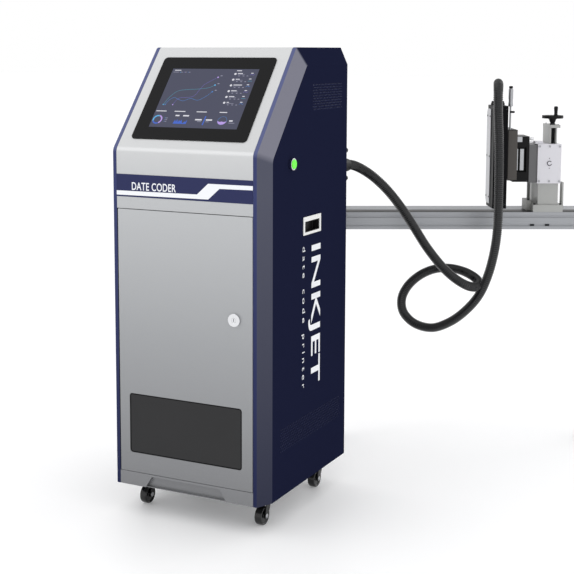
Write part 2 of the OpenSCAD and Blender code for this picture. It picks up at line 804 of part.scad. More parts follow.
module handwheel() {
  low = cap_z + cap_t + 6;
  color([0.03, 0.03, 0.035]) rail_frame() difference() {
    union() {
      translate([screw_x, screw_y, low]) cylinder(r1 = 8, r2 = 13, h = 14, $fn = 48);
      rod([screw_x, screw_y, low + 14], 16, 12);
      difference() {
        rod([screw_x, screw_y, low + 16], handwheel_d / 2, 10);
        rod([screw_x, screw_y, low + 15], handwheel_d / 2 - 10, 12);
      }
      for (a = [30, 150, 270]) translate([screw_x, screw_y, low + 17]) rotate([0, 0, a])
        box([0, -5, 0], [handwheel_d / 2 - 5, 10, 8]);
      rod([screw_x + 4, screw_y - handwheel_d / 2 + 8, low + 16], 4, 38);
    }
    rod([screw_x, screw_y, low - 1], screw_r, 18 + 1);
  }
}

module handwheel_grip() {
  low = cap_z + cap_t + 6 + 26.5;
  color([0.03, 0.03, 0.035]) rail_frame() difference() {
    rod([screw_x + 4, screw_y - handwheel_d / 2 + 8, low], 7, 32);
    rod([screw_x + 4, screw_y - handwheel_d / 2 + 8, low - 1], 4 + fit, 30);
  }
}

// Sleeve that rides up and down over the pedestal, with the nut in its roof
module carriage() {
  color([0.9, 0.91, 0.92]) rail_frame() difference() {
    box([block_x, rail_y, block_z], [block_w, block_d, block_h]);
    box([block_x + block_wall, rail_y + 5, block_z - 1],
      [block_w - 2 * block_wall, block_d - 10, block_h - block_top_t + 1]);
    // the roof is cut around the channel, and its tongue inside holds the nut
    difference() {
      box([column_x - 1, column_y - 1, block_z], [column_w + 2, column_d + 2, block_h + 1]);
      box([column_x + column_wall + 1, column_y - 2, block_z - 1],
        [column_w - 2 * column_wall - 2, column_d - column_wall + 1, block_h + 10]);
    }
    rod([screw_x, screw_y, block_z - 1], screw_r + fit, block_h + 10);
  }
}

module carriage_cover() {
  y = rail_y - 3;
  color([0.9, 0.91, 0.92]) rail_frame() {
    box([block_x, y, block_z], [block_w, 3, block_h]);
    rod_y([block_x + block_w / 2, y - 3, block_z + block_h / 2 + 2], 9, 3);
    for (x = [6, block_w / 2, block_w - 6], z = [8, block_h - 8])
      rod_y([block_x + x, y - 2, block_z + z], 3, 2);
  }
}

// Cross slide: black cheeks, a silver saddle and the arm behind it
module slide_base() {
  arm = block_x - slide_x - slide_w;
  right = fine_x + fine_plate_t + fine_base_w;
  color([0.04, 0.04, 0.045]) rail_frame() {
    difference() {
      box([slide_x, slide_y, slide_z], [slide_w, slide_d, slide_h]);
      box([slide_x + 12, slide_y - 1, slide_z + 34], [slide_w - 22, 14, slide_h - 72]);
    }
    box([slide_x + slide_w, slide_y + slide_d - 50, slide_z + 10], [arm, 50, slide_h - 40]);
    box([right - fine_base_w, fine_y, fine_z], [fine_base_w, 12, fine_h]);
    box([right - fine_base_w, fine_y + 24, fine_z], [fine_base_w, fine_d - 24, fine_h]);
    box([right - fine_base_w, fine_y + 12, fine_z], [fine_base_w, 12, 20]);
    rod_x([slide_x + slide_w, slide_y + 6, slide_z + slide_h - 8], 3, 14);
  }
}

module fine_screw() {
  x = fine_screw_x;
  y = fine_y + 18;
  low = fine_z + 21;
  top = fine_z + fine_h;
  color([0.85, 0.85, 0.86]) rail_frame() {
    rod([x, y, low], 3, top + 80 - low);
    rod([x, y, top + 78], 8, 62);
    rod([x, y, top + 140], 6, 7);
    box([x - 2, y - 3, top + 56], [16, 6, 7]);
  }
}

module fine_slide() {
  y = fine_y + 18;
  color([0.07, 0.07, 0.075]) rail_frame() union() {
    box([fine_x, fine_y + 2, fine_z + fine_travel + 1],
      [fine_plate_t - air, head_d - 60, fine_h - 2 * fine_travel - 2]);
    difference() {
      box([fine_x + fine_plate_t - 1, y - 5.7, fine_z + 70], [15, 11.4, 30]);
      rod([fine_screw_x, y, fine_z + 60], 3 + fit, 60);
    }
  }
}

// ---- print head ----
module print_head() {
  color([0.03, 0.03, 0.035]) rail_frame() difference() {
    box([head_x, head_y, head_z], [head_w, head_d, head_h]);
    rod([hose_x, head_gland_y, head_z + head_h - 70], hose_bore, 80);
    box([head_x + 8, head_y + 12, head_z - 1], [head_w - 16, head_d - 24, 7]);
  }
}

module head_side_plate() {
  h = head_h - 24;
  z = head_z + 12;
  color([0.75, 0.76, 0.77]) rail_frame() translate([head_x - 3, 0, 0])
    rotate([90, 0, 90]) linear_extrude(3) polygon([
      [head_y + 50, z], [head_y + head_d - 12, z], [head_y + head_d, z + 14],
      [head_y + head_d, z + h - 14], [head_y + head_d - 12, z + h], [head_y + 50, z + h]]);
}

module nozzle_plate() {
  color([0.75, 0.7, 0.5]) rail_frame() difference() {
    box([head_x + 8.2, head_y + 12.2, head_z - 1], [head_w - 16.4, head_d - 24.4, 7]);
    box([head_x + head_w / 2 - 1, head_y + 25, head_z - 2], [2, head_d - 50, 4]);
  }
}

module head_gland() {
  z = head_z + head_h;
  color([0.05, 0.05, 0.06]) rail_frame() difference() {
    union() {
      rod([hose_x, head_gland_y, z], gland_d / 2, 8);
      rod([hose_x, head_gland_y, z + 8], gland_d / 2 - 2, head_gland_h - 8);
    }
    rod([hose_x, head_gland_y, z - 1], hose_bore, head_gland_h + 2);
  }
}

// ---- hose ----
// Rings of points square to the route, one for each of its points, with ten sides.
// Each ring is turned on from the one before, so that the tube doesn't twist.
function tangent(i) = let (n = len(HOSE) - 1)
  unit(unit(HOSE[min(i + 1, n)] - HOSE[min(i, n - 1)]) + unit(HOSE[max(i, 1)] - HOSE[max(i - 1, 0)]));
function normals(i, last) = i == len(HOSE) ? [] :
  let (t = tangent(i), n = unit(last - (last * t) * t)) concat([n], normals(i + 1, n));

module hose() {
  sides = 10;
  across = normals(0, [0, 0, 1]);
  rings = [for (i = [0:len(HOSE) - 1])
    let (t = tangent(i), u = across[i], w = cross(t, u))
    [for (k = [0:sides - 1]) HOSE[i] + hose_d / 2 * (cos(360 * k / sides) * u + sin(360 * k / sides) * w)]];
  n = len(rings);
  color([0.04, 0.04, 0.045]) rail_frame() polyhedron(
    points = [for (r = rings) each r],
    faces = concat(
      [[for (k = [0:sides - 1]) k]],
      [for (i = [0:n - 2], k = [0:sides - 1]) let (a = i * sides + k, b = i * sides + (k + 1) % sides)
        [b, a, a + sides, b + sides]],
      [[for (k = [sides - 1:-1:0]) (n - 1) * sides + k]]));
}

base_tray();
frame_posts();
frame_bars();
side_panel_left();
side_panel_right();
rear_panel();
top_cover();
front_fascia();
front_band();
kick_panel();
screen_bezel();
screen_panel();
controller_box();
button_barrel();
button_cap();
data_port();
rear_gland();
rear_connectors();
mains_switch();
rear_fan();
fan_rotor();
shelves();
fluid_tanks();
fluid_pump();
valve_block();
fluid_tubes();
power_supply();
control_board();
door();
door_window();
door_lock();
lock_plug();
door_brackets();
castor_plates();
castor_fork(0);  // castor_fork_fl
castor_fork(1);  // castor_fork_fr
castor_fork(2);  // castor_fork_rl
castor_fork(3);  // castor_fork_rr
castor_wheel(0);  // castor_wheel_fl
castor_wheel(1);  // castor_wheel_fr
castor_wheel(2);  // castor_wheel_rl
castor_wheel(3);  // castor_wheel_rr
rail();
rail_strip();
rail_posts();
rail_clamp();
guide_column();
lead_screw();
handwheel();
handwheel_grip();
carriage();
carriage_cover();
slide_base();
fine_screw();
fine_slide();
print_head();
head_side_plate();
nozzle_plate();
head_gland();
hose();
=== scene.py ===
# %% [markdown]
# # A date code inkjet printer
# The real machine is a steel cabinet on castors that keeps the ink, the pump and the controls.
# A ribbed hose carries ink and signals from it to a small print head, which hangs beside a
# conveyor on a rail and is set to the right height with a handwheel. This lesson dresses a
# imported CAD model: the CAD gives every size and place, and Blender gives the finish.

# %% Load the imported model
import json
import math

import bmesh
import bpy
from mathutils import Matrix, Vector

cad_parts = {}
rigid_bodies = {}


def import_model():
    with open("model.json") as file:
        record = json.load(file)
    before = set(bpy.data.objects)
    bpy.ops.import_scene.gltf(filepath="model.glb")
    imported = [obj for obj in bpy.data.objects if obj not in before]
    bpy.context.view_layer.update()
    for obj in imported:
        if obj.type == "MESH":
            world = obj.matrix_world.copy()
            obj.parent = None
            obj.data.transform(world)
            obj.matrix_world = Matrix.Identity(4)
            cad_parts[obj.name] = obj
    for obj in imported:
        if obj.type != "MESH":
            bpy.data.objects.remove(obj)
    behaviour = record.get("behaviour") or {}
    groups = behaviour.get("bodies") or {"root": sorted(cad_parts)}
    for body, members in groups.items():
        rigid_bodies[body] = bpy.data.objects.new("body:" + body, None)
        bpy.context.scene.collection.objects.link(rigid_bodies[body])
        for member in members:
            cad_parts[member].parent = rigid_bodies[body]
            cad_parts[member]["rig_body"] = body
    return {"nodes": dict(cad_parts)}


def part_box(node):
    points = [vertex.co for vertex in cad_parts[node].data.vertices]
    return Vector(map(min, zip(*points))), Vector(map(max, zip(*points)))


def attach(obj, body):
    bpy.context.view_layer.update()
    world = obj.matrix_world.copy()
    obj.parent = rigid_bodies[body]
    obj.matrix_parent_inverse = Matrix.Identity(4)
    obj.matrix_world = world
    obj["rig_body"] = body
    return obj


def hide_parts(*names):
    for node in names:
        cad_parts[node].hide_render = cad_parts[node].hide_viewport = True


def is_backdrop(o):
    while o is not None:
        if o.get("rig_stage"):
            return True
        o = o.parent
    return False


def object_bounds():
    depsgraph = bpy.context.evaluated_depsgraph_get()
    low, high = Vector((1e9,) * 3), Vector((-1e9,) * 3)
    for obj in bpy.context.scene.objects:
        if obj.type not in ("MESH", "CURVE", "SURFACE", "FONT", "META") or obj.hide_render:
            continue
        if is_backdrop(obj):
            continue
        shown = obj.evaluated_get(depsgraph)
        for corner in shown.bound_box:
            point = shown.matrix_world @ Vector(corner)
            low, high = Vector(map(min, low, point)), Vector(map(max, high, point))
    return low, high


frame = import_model()
nodes = frame["nodes"]
cad_low, cad_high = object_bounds()
print("CAD nodes:", len(nodes), "box:", [round(v, 3) for v in cad_high - cad_low])

# %% [markdown]
# The cabinet stands square, and the rail is turned against it. Each has its own frame on the
# drawing, so two small functions turn a drawing's millimetres into the scene's metres. Typing
# metres everywhere would also work, but then no number could be compared with a ruler.

# %% Two drawing frames
MM = 0.001
RAIL_TURN = math.radians(27.5)
MIDDLE = (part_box("side_panel_left")[0].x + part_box("side_panel_right")[1].x) / 2
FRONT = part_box("front_fascia")[0].y
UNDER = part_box("base_tray")[0].z


def cab(x, y, z):
    """A point of the cabinet: across, back from the front, up from the underside."""
    return Vector((MIDDLE + x * MM, FRONT + y * MM, UNDER + z * MM))


def rail(along, across, up):
    """A point of the rail group: along the rail, across it, up from the floor."""
    turned = Matrix.Rotation(RAIL_TURN, 3, "Z") @ Vector((along, across, up))
    return Vector((MIDDLE, FRONT, 0)) + turned * MM


print("cabinet corner:", cab(-260, 0, 0)[:], "rail end:", rail(1440, 760, 770)[:])

# %% [markdown]
# A long lens far away keeps the cabinet's upright edges nearly parallel. The camera looks down
# a little, and a lens shift frames the machine without tilting the camera any further.

# %% Camera
camera = bpy.data.objects.new("camera", bpy.data.cameras.new("camera"))
bpy.context.scene.collection.objects.link(camera)
camera.location = (1.4868, -3.8086, 1.3827)
camera.rotation_euler = (math.radians(90 - 7.062), 0, math.radians(27.458))
camera.data.sensor_width = 36
camera.data.lens = 78.855
camera.data.shift_x = 0.0570
camera.data.shift_y = -0.1394
bpy.context.scene.camera = camera
print("camera at", camera.location[:])

# %% [markdown]
# ## Nodes written as sums
# Materials and Geometry Nodes are both graphs. One class adds any node, with its settings
# first and its sockets next. A second class wraps a socket, so that a sum such as
# `1 - mask * 0.5` adds its own Math nodes and reads like the sum it is.

# %% A graph and its wires
class Wire:
    """A socket that can be used in sums."""

    def __init__(self, graph, socket):
        self.graph, self.socket = graph, socket

    def to(self, operation, *others, **settings):
        pair = dict(enumerate([self, *others]))
        return self.graph.node("ShaderNodeMath", {"operation": operation, **settings}, pair)[0]


def operator(operation, swapped):
    def apply(self, other):
        pair = [other, self] if swapped else [self, other]
        settings = {"operation": operation}
        return self.graph.node("ShaderNodeMath", settings, dict(enumerate(pair)))[0]

    return apply


for word, operation in [("add", "ADD"), ("sub", "SUBTRACT"), ("mul", "MULTIPLY"),
                        ("truediv", "DIVIDE"), ("pow", "POWER")]:
    setattr(Wire, f"__{word}__", operator(operation, False))
    setattr(Wire, f"__r{word}__", operator(operation, True))
Wire.__lt__ = operator("LESS_THAN", False)
Wire.__gt__ = operator("GREATER_THAN", False)


class Made:
    """A node that was just added. An index or a name gives one of its outputs."""

    def __init__(self, graph, node):
        self.graph, self.node = graph, node

    def __getitem__(self, key):
        return Wire(self.graph, self.node.outputs[key])


class Graph:
    """The nodes of one material or of one Geometry Nodes tree."""

    def __init__(self, tree):
        self.tree = tree

    def plug(self, socket, value):
        if isinstance(value, Wire):
            self.tree.links.new(value.socket, socket)
        elif socket.type == "RGBA":
            socket.default_value = (*value[:3], 1.0)
        else:
            socket.default_value = value

    def node(self, kind, settings=None, sockets=None):
        made = self.tree.nodes.new(kind)
        for name, value in (settings or {}).items():
            if name == "stops":
                ramp = made.color_ramp.elements
                while len(ramp) < len(value):
                    ramp.new(0.5)
                for stop, (at, tone) in zip(ramp, value):
                    stop.position, stop.color = at, (*tone[:3], 1.0)
            else:
                setattr(made, name, value)
        for name, value in (sockets or {}).items():
            self.plug(made.inputs[name], value)
        return Made(self, made)


print("a graph adds nodes, and a wire adds sums")

# %% A material as a graph
def tone(code):
    """A colour code such as 'c8c9ca' as the linear numbers that shaders use."""
    parts = [int(code[i:i + 2], 16) / 255 for i in (0, 2, 4)]
    return tuple(p / 12.92 if p < 0.04045 else ((p + 0.055) / 1.055) ** 2.4 for p in parts)


class Finish(Graph):
    """A material. The same numbers everywhere go straight onto the shader's sockets."""

    def __init__(self, name, **plain):
        self.material = bpy.data.materials.new(name)
        self.material.use_nodes = True
        super().__init__(self.material.node_tree)
        self.shader = self.tree.nodes["Principled BSDF"]
        self.place = self.node("ShaderNodeTexCoord")["Object"]
        for socket, value in plain.items():
            self.set(socket.replace("_", " ").title(), value)

    def set(self, socket, value):
        self.plug(self.shader.inputs[socket], value)

    def mix(self, factor, first, second):
        sockets = {0: factor, 6: first, 7: second}
        return self.node("ShaderNodeMix", {"data_type": "RGBA"}, sockets)[2]

    def stretched(self, scale):
        return self.node("ShaderNodeMapping", {}, {"Vector": self.place, "Scale": scale})[0]

    def noise(self, scale, detail=2.0, at=None):
        sockets = {"Vector": at or self.place, "Scale": scale, "Detail": detail}
        return self.node("ShaderNodeTexNoise", {}, sockets)[0]

    def relief(self, height, depth, strength=1.0):
        sockets = {"Height": height, "Distance": depth, "Strength": strength}
        self.set("Normal", self.node("ShaderNodeBump", {}, sockets)[0])

    def axes(self):
        split = self.node("ShaderNodeSeparateXYZ", {}, {0: self.place})
        return split[0], split[1], split[2]


def surface(name, main, second=None, rough=0.4, spread=0.12, metal=0.0, coat=0.0,
            patch=5.0, grain=1500.0, depth=0.00002, brushed=None, shine=0.5):
    """A finish whose shade drifts slowly, with a fine grain in its gloss and its relief."""
    made = Finish(name, metallic=metal, coat_weight=coat)
    made.set("Specular IOR Level", shine)
    fine_place = made.stretched(brushed) if brushed else None
    slow = made.noise(patch, 3.0)
    fine = made.noise(grain, 2.0, fine_place)
    first, other = tone(main), tone(second or main)
    made.set("Base Color", made.mix(slow * 0.8 + fine * 0.2, first, other))
    made.set("Roughness", (fine - 0.5) * spread + (slow - 0.5) * spread * 0.5 + rough)
    made.relief(fine, depth)
    return made


print("light grey is", [round(v, 3) for v in tone("c8c9ca")])

# %% [markdown]
# Geometry Nodes make what repeats. Each tree has named inputs, and its modifier is run once on
# a carrier object. The result becomes a plain mesh, because instances are lost on export.

# %% A Geometry Nodes tree that is run once
KINDS = {"value": "NodeSocketFloat", "count": "NodeSocketInt", "thing": "NodeSocketObject",
         "finish": "NodeSocketMaterial"}


def as_mesh(shape, name):
    """The bmesh as a mesh. The bmesh itself is freed."""
    mesh = bpy.data.meshes.new(name)
    shape.to_mesh(mesh)
    shape.free()
    return mesh


class Recipe(Graph):
    """A Geometry Nodes tree with named inputs, which ends in real, painted faces."""

    def __init__(self, name, **inputs):
        super().__init__(bpy.data.node_groups.new(name, "GeometryNodeTree"))
        face = self.tree.interface
        face.new_socket("Geometry", in_out="INPUT", socket_type="NodeSocketGeometry")
        for label, kind in {**inputs, "finish": "finish"}.items():
            face.new_socket(label, in_out="INPUT", socket_type=KINDS[kind])
        face.new_socket("Geometry", in_out="OUTPUT", socket_type="NodeSocketGeometry")
        self.start = Made(self, self.tree.nodes.new("NodeGroupInput"))

    def end(self, geometry):
        real = self.node("GeometryNodeRealizeInstances", {}, {0: geometry})[0]
        sockets = {"Geometry": real, "Material": self.start["finish"]}
        painted = self.node("GeometryNodeSetMaterial", {}, sockets)[0]
        self.node("NodeGroupOutput", {}, {0: painted})

    def run(self, carrier, finish, **values):
        """Runs the tree on a carrier and gives the mesh that it made."""
        modifier = carrier.modifiers.new("recipe", "NODES")
        modifier.node_group = self.tree
        names = {s.name: s.identifier for s in self.tree.interface.items_tree
                 if s.in_out == "INPUT"}
        for label, value in {**values, "finish": finish.material}.items():
            modifier[names[label]] = value
        return flattened(carrier)


def flattened(obj):
    """The object's evaluated mesh as a plain mesh. The object itself is removed."""
    view = bpy.context.evaluated_depsgraph_get()
    view.update()
    mesh = bpy.data.meshes.new_from_object(obj.evaluated_get(view), depsgraph=view)
    bpy.data.objects.remove(obj)
    return mesh


def linked(name, data):
    obj = bpy.data.objects.new(name, data)
    bpy.context.scene.collection.objects.link(obj)
    return obj


SMOOTH_BELOW = math.radians(32)
made_faces = {}


def piece(name, mesh, finish, body, instead_of=()):
    """Puts a finished mesh into the scene: its paint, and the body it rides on."""
    mesh.materials.clear()
    mesh.materials.append(finish.material)
    if not mesh.has_custom_normals:
        mesh.shade_smooth()
        mesh.set_sharp_from_angle(angle=SMOOTH_BELOW)
    obj = linked(name, mesh)
    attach(obj, body)
    if instead_of:
        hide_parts(*instead_of)
    made_faces[name] = len(mesh.polygons)
    return obj


# %% [markdown]
# ## The umbilical hose
# The real hose is a black ribbed conduit, 32 mm across, with the ink lines and the cable inside.
# It leaves the gland at the cabinet's back, drops in one loose loop, climbs past the rail and
# turns over into the top of the head. A bevelled curve would give a smooth pipe, so the ribs are
# made by Geometry Nodes: the ring that follows the curve swells and shrinks along its length.

# %% The hose's route
HOSE_WIDTH = 0.032
ROUTE = [
    (0.483, 0.425, 1.022), (0.508, 0.473, 1.021), (0.535, 0.505, 1.012), (0.580, 0.533, 0.985),
    (0.633, 0.551, 0.938), (0.680, 0.560, 0.882), (0.724, 0.563, 0.818), (0.775, 0.561, 0.738),
    (0.828, 0.556, 0.672), (0.870, 0.553, 0.634), (0.910, 0.558, 0.610), (0.944, 0.585, 0.600),
    (0.964, 0.632, 0.603), (0.958, 0.685, 0.614), (0.927, 0.725, 0.628), (0.880, 0.742, 0.637),
    (0.825, 0.740, 0.633), (0.774, 0.724, 0.614), (0.730, 0.700, 0.580), (0.708, 0.676, 0.541),
    (0.712, 0.655, 0.500), (0.748, 0.636, 0.465), (0.805, 0.621, 0.453), (0.863, 0.610, 0.475),
    (0.917, 0.602, 0.518), (0.959, 0.597, 0.572), (0.987, 0.595, 0.640), (1.005, 0.595, 0.715),
    (1.014, 0.595, 0.790), (1.016, 0.595, 0.870), (1.016, 0.595, 0.950), (1.015, 0.595, 1.030),
    (1.012, 0.595, 1.110), (1.008, 0.595, 1.180), (1.007, 0.595, 1.225), (1.008, 0.602, 1.251),
    (1.012, 0.621, 1.270), (1.016, 0.647, 1.277), (1.021, 0.674, 1.270), (1.025, 0.693, 1.251),
    (1.026, 0.700, 1.225), (1.026, 0.700, 1.190), (1.026, 0.700, 1.150)]


def smooth_line(points, steps=10):
    """A smooth curve through every point, as a close row of points."""
    ends = [points[0] * 2 - points[1], *points, points[-1] * 2 - points[-2]]
    line = []
    for a, b, c, d in zip(ends, ends[1:], ends[2:], ends[3:]):
        before, span, after = ((b - a).length ** 0.5, (c - b).length ** 0.5, (d - c).length ** 0.5)
        m1 = (c - b + span * ((b - a) / before - (c - a) / (before + span)))
        m2 = (c - b + span * ((d - c) / after - (d - b) / (span + after)))
        for k in range(steps):
            t = k / steps
            line.append((2 * t**3 - 3 * t**2 + 1) * b + (t**3 - 2 * t**2 + t) * m1
                        + (3 * t**2 - 2 * t**3) * c + (t**3 - t**2) * m2)
    return [*line, points[-1]]


hose_line = smooth_line([rail(a * 1000, b * 1000, z * 1000) for a, b, z in ROUTE])

# %% Black ribbed plastic
hose_black = surface("hose_black", "101114", "0b0c0e", rough=0.25, patch=9.0, grain=900.0,
                     shine=0.45)

# %% Ribs along a curve
ribbed = Recipe("ribbed_pipe", step="value", pitch="value", radius="value", depth="value",
                sides="count")
sockets = {"Curve": ribbed.start["Geometry"], "Length": ribbed.start["step"]}
evenly = ribbed.node("GeometryNodeResampleCurve", {"mode": "LENGTH"}, sockets)[0]
along = ribbed.node("GeometryNodeSplineParameter")["Length"]
wave = (along * math.tau / ribbed.start["pitch"]).to("SINE")
swell = ribbed.start["radius"] - ribbed.start["depth"] * (0.5 - wave * 0.5)
sockets = {"Resolution": ribbed.start["sides"], "Radius": 1.0}
ring = ribbed.node("GeometryNodeCurvePrimitiveCircle", {}, sockets)[0]
sockets = {"Curve": evenly, "Profile Curve": ring, "Scale": swell, "Fill Caps": True}
ribbed.end(ribbed.node("GeometryNodeCurveToMesh", {}, sockets)[0])

# %% The hose itself
curve = bpy.data.curves.new("hose_line", "CURVE")
curve.dimensions = "3D"
spline = curve.splines.new("POLY")
spline.points.add(len(hose_line) - 1)
for point, place in zip(spline.points, hose_line):
    point.co = (*place, 1)
hose_mesh = ribbed.run(linked("hose_line", curve), hose_black, step=0.0013, pitch=0.0065,
                       radius=HOSE_WIDTH / 2, depth=0.0018, sides=18)
hose = piece("umbilical_hose", hose_mesh, hose_black, "cabinet", ["hose"])
print("hose faces:", len(hose_mesh.polygons))

# %% [markdown]
# ## Studio
# A pale floor and large soft lights. Metallic paint shows what it reflects, so the lights are
# wide sheets: one high at the left front for the sloping face, one at the right for the side.

# %% Floor and lights
STUDIO_WHITE = (1.0, 1.0, 1.0)
floor_finish = surface("studio_floor", "f6f6f7", "f4f4f5", rough=0.5, grain=40.0)
floor_finish.set("Emission Color", (1.0, 1.0, 1.0))
floor_finish.set("Emission Strength", 0.13)
floor_mesh = bpy.data.meshes.new("floor")
reach = 60.0
floor_mesh.from_pydata([(-reach, -reach, 0), (reach, -reach, 0), (reach, reach, 0),
                        (-reach, reach, 0)], [], [(0, 1, 2, 3)])
floor_mesh.materials.append(floor_finish.material)
floor = linked("floor", floor_mesh)
floor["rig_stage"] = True

world = bpy.data.worlds.new("studio")
bpy.context.scene.world = world
world.use_nodes = True
world.node_tree.nodes["Background"].inputs["Color"].default_value = (*STUDIO_WHITE, 1)
world.node_tree.nodes["Background"].inputs["Strength"].default_value = 1.0
bpy.context.scene.view_settings.view_transform = "Standard"

LIGHTS = {
    "key": ((-2.2, -3.2, 3.4), (0.0, -0.4, 0.9), 2.6, 22),
    "right": ((3.6, -1.6, 2.2), (0.0, -0.4, 0.7), 2.0, 6),
    "back": ((1.5, 3.4, 3.0), (0.2, 0.2, 0.8), 2.4, 20)}
for name, (where, at, side, power) in LIGHTS.items():
    lamp = bpy.data.objects.new(name, bpy.data.lights.new(name, "AREA"))
    bpy.context.scene.collection.objects.link(lamp)
    lamp.data.shape = "SQUARE"
    lamp.data.size, lamp.data.energy = side, power
    lamp.location = where
    lamp.rotation_euler = (Vector(at) - Vector(where)).to_track_quat("-Z", "Y").to_euler()
print("lights:", list(LIGHTS))

# %% [markdown]
# ## Finishes
# The front is silver paint: metal flakes under a thin clear coat. Its colour carries a painted
# reflection, lighter high up and darker towards the floor. The sides are matt navy paint, and
# their bevels and front strips carry a painted sheen by the way they face, with painted shade
# low down. A flat colour would look like card, so each finish mixes two close shades with slow
# noise and takes its gloss from a fine grain.

# %% Silver paint
silver_paint = surface("silver_paint", "b9bbbe", "b3b5b8", rough=0.36, spread=0.08, metal=0.35,
                       coat=0.25, grain=2600.0, depth=0.000006)
# Painted reflection: by height, the silver goes from dark grey at the floor to light grey at the
# top.
height = silver_paint.axes()[2]
low, high = cab(0, 0, 0).z, cab(0, 0, 1302).z
rise = ((height - low) / (high - low)).to("MAXIMUM", 0.0)
painted_reflection_ramp = silver_paint.node("ShaderNodeValToRGB", {"stops": [
    (0.0, tone("68696c")), (0.35, tone("909295")), (0.68, tone("b4b6b8")), (0.78, tone("c6c7c8")),
    (1.0, tone("cfd0d1"))]}, {0: rise})[0]
flakes = silver_paint.noise(3200.0, 1.0)
silver_paint.set("Base Color", silver_paint.mix(flakes * 0.12, painted_reflection_ramp, tone("f4f5f6")))
print("silver from", round(low, 3), "to", round(high, 3), "m")

# %% Paints, plastics and metals
navy_paint = surface("navy_paint", "12162f", "10142b", rough=0.5, spread=0.08, patch=3.0,
                     grain=2400.0, depth=0.000006, shine=0.0)
band_film = surface("band_film", "272c56", "242950", rough=0.35, depth=0.000003, shine=0.2)
white_film = surface("white_film", "eceef2", rough=0.35, coat=0.3, depth=0.000003)
black_glass = surface("black_glass", "1a1a1b", "171718", rough=0.25, spread=0.04, depth=0.000002,
                      shine=0.1)
black_plastic = surface("black_plastic", "161618", "101012", rough=0.42, shine=0.15)
matte_black = surface("matte_black", "0b0b0c", "08080a", rough=0.7, shine=0.1)
window_black = surface("window_black", "353536", "303031", rough=0.5, grain=1100.0, depth=0.00004,
                       shine=0.1)
castor_black = surface("castor_black", "161618", "101012", rough=0.28, metal=0.3, shine=0.3)
wheel_black = surface("wheel_black", "101012", "0c0c0e", rough=0.2, shine=0.5)
head_black = surface("head_black", "131316", "0e0e10", rough=0.4, grain=1200.0, depth=0.00003,
                     shine=0.05)
slide_black = surface("slide_black", "121214", "0d0d0f", rough=0.38, grain=1800.0, shine=0.15)
red_plastic = surface("red_plastic", "9c1a16", "8c1512", rough=0.25, coat=0.3)
chrome = surface("chrome", "dfe0e2", "d4d5d8", rough=0.12, spread=0.05, metal=1.0)
steel = surface("steel", "b4b5b8", "a4a5a9", rough=0.3, metal=1.0, brushed=(1, 1, 30))
dark_steel = surface("dark_steel", "3a3b3e", "2c2d30", rough=0.35, metal=0.9)
aluminium = surface("aluminium", "b9bbbe", "adafb3", rough=0.36, metal=0.9, brushed=(1, 20, 1))
galvanised = surface("galvanised", "7b7d80", "6a6c70", rough=0.45, metal=0.7, patch=30.0)
adjuster_white = surface("adjuster_white", "dedde3", "d4d3d9", rough=0.4, metal=0.1, grain=1600.0)
# A greyer, darker copy of the adjusters' paint; the darkness is painted shade for the clamp and the
# column.
adjuster_grey = surface("adjuster_grey", "aeafad", "a3a4a2", rough=0.45, metal=0.1, grain=1600.0)
tank_plastic = surface("tank_plastic", "6f7275", "65686b", rough=0.4)
tube_plastic = surface("tube_plastic", "2b2c30", "232428", rough=0.3, coat=0.2)
board_green = surface("board_green", "1b5a35", "16502d", rough=0.35, coat=0.2, patch=60.0)
nozzle_metal = surface("nozzle_metal", "b5a36c", "a8965f", rough=0.2, metal=1.0)
filter_mat = surface("filter_mat", "b2ada1", "9d988c", rough=0.9, patch=300.0, grain=900.0,
                     depth=0.0004)
print("finishes:", len(bpy.data.materials))

# %% [markdown]
# Extruded aluminium shows fine draw lines along its length. The rail is turned, so the place is
# turned back before the noise is stretched, and the lines run along the rail on every face.

# %% Navy paint with a painted sheen on the faces that turn to the front, and painted shade low down
navy_painted_sheen = Finish("navy_paint_edges", roughness=0.42)
navy_painted_sheen.set("Specular IOR Level", 0.0)
facing_way = navy_painted_sheen.node("ShaderNodeTexCoord")["Normal"]
split = navy_painted_sheen.node("ShaderNodeSeparateXYZ", {}, {0: facing_way})
forward = split[1] * -1
leaning = split[2] * (forward * 4).to("MINIMUM", 1.0).to("MAXIMUM", 0.0)
turned_front = (forward + leaning) / 1.5
# Painted sheen: the bevels and the front strips are painted lighter, slate grey and blue, by which
# way they face.
painted_sheen_by_facing = navy_painted_sheen.node("ShaderNodeValToRGB", {"stops": [
    (0.0, tone("12162f")), (0.12, tone("12162f")), (0.27, tone("505260")), (0.39, tone("7c7c88")),
    (0.55, tone("4a5274")), (0.67, tone("3a4068")), (0.94, tone("5c6288"))]}, {0: turned_front})[0]
fine = navy_painted_sheen.noise(2400.0)
# Painted shade: below 900 mm up the cabinet the sheen is darkened back towards navy.
painted_shade_low = (cab(0, 0, 900).z - navy_painted_sheen.axes()[2]).to("MAXIMUM", 0.0) * 0.75
navy_with_painted_shade = navy_painted_sheen.mix(painted_shade_low.to("MINIMUM", 1.0), painted_sheen_by_facing, tone("12162f"))
navy_painted_sheen.set("Base Color", navy_painted_sheen.mix(fine * 0.03, navy_with_painted_shade, tone("9a9cb0")))
navy_painted_sheen.relief(fine, 0.000006)

# %% Data port with a black inside
port_white = Finish("port_white", roughness=0.4)
inside = port_white.axes()[0] < cab(260.6, 0, 0).x
port_white.set("Base Color", port_white.mix(inside, tone("e9e9e7"), tone("0a0a0b")))
port_white.relief(port_white.noise(1500.0), 0.00002)

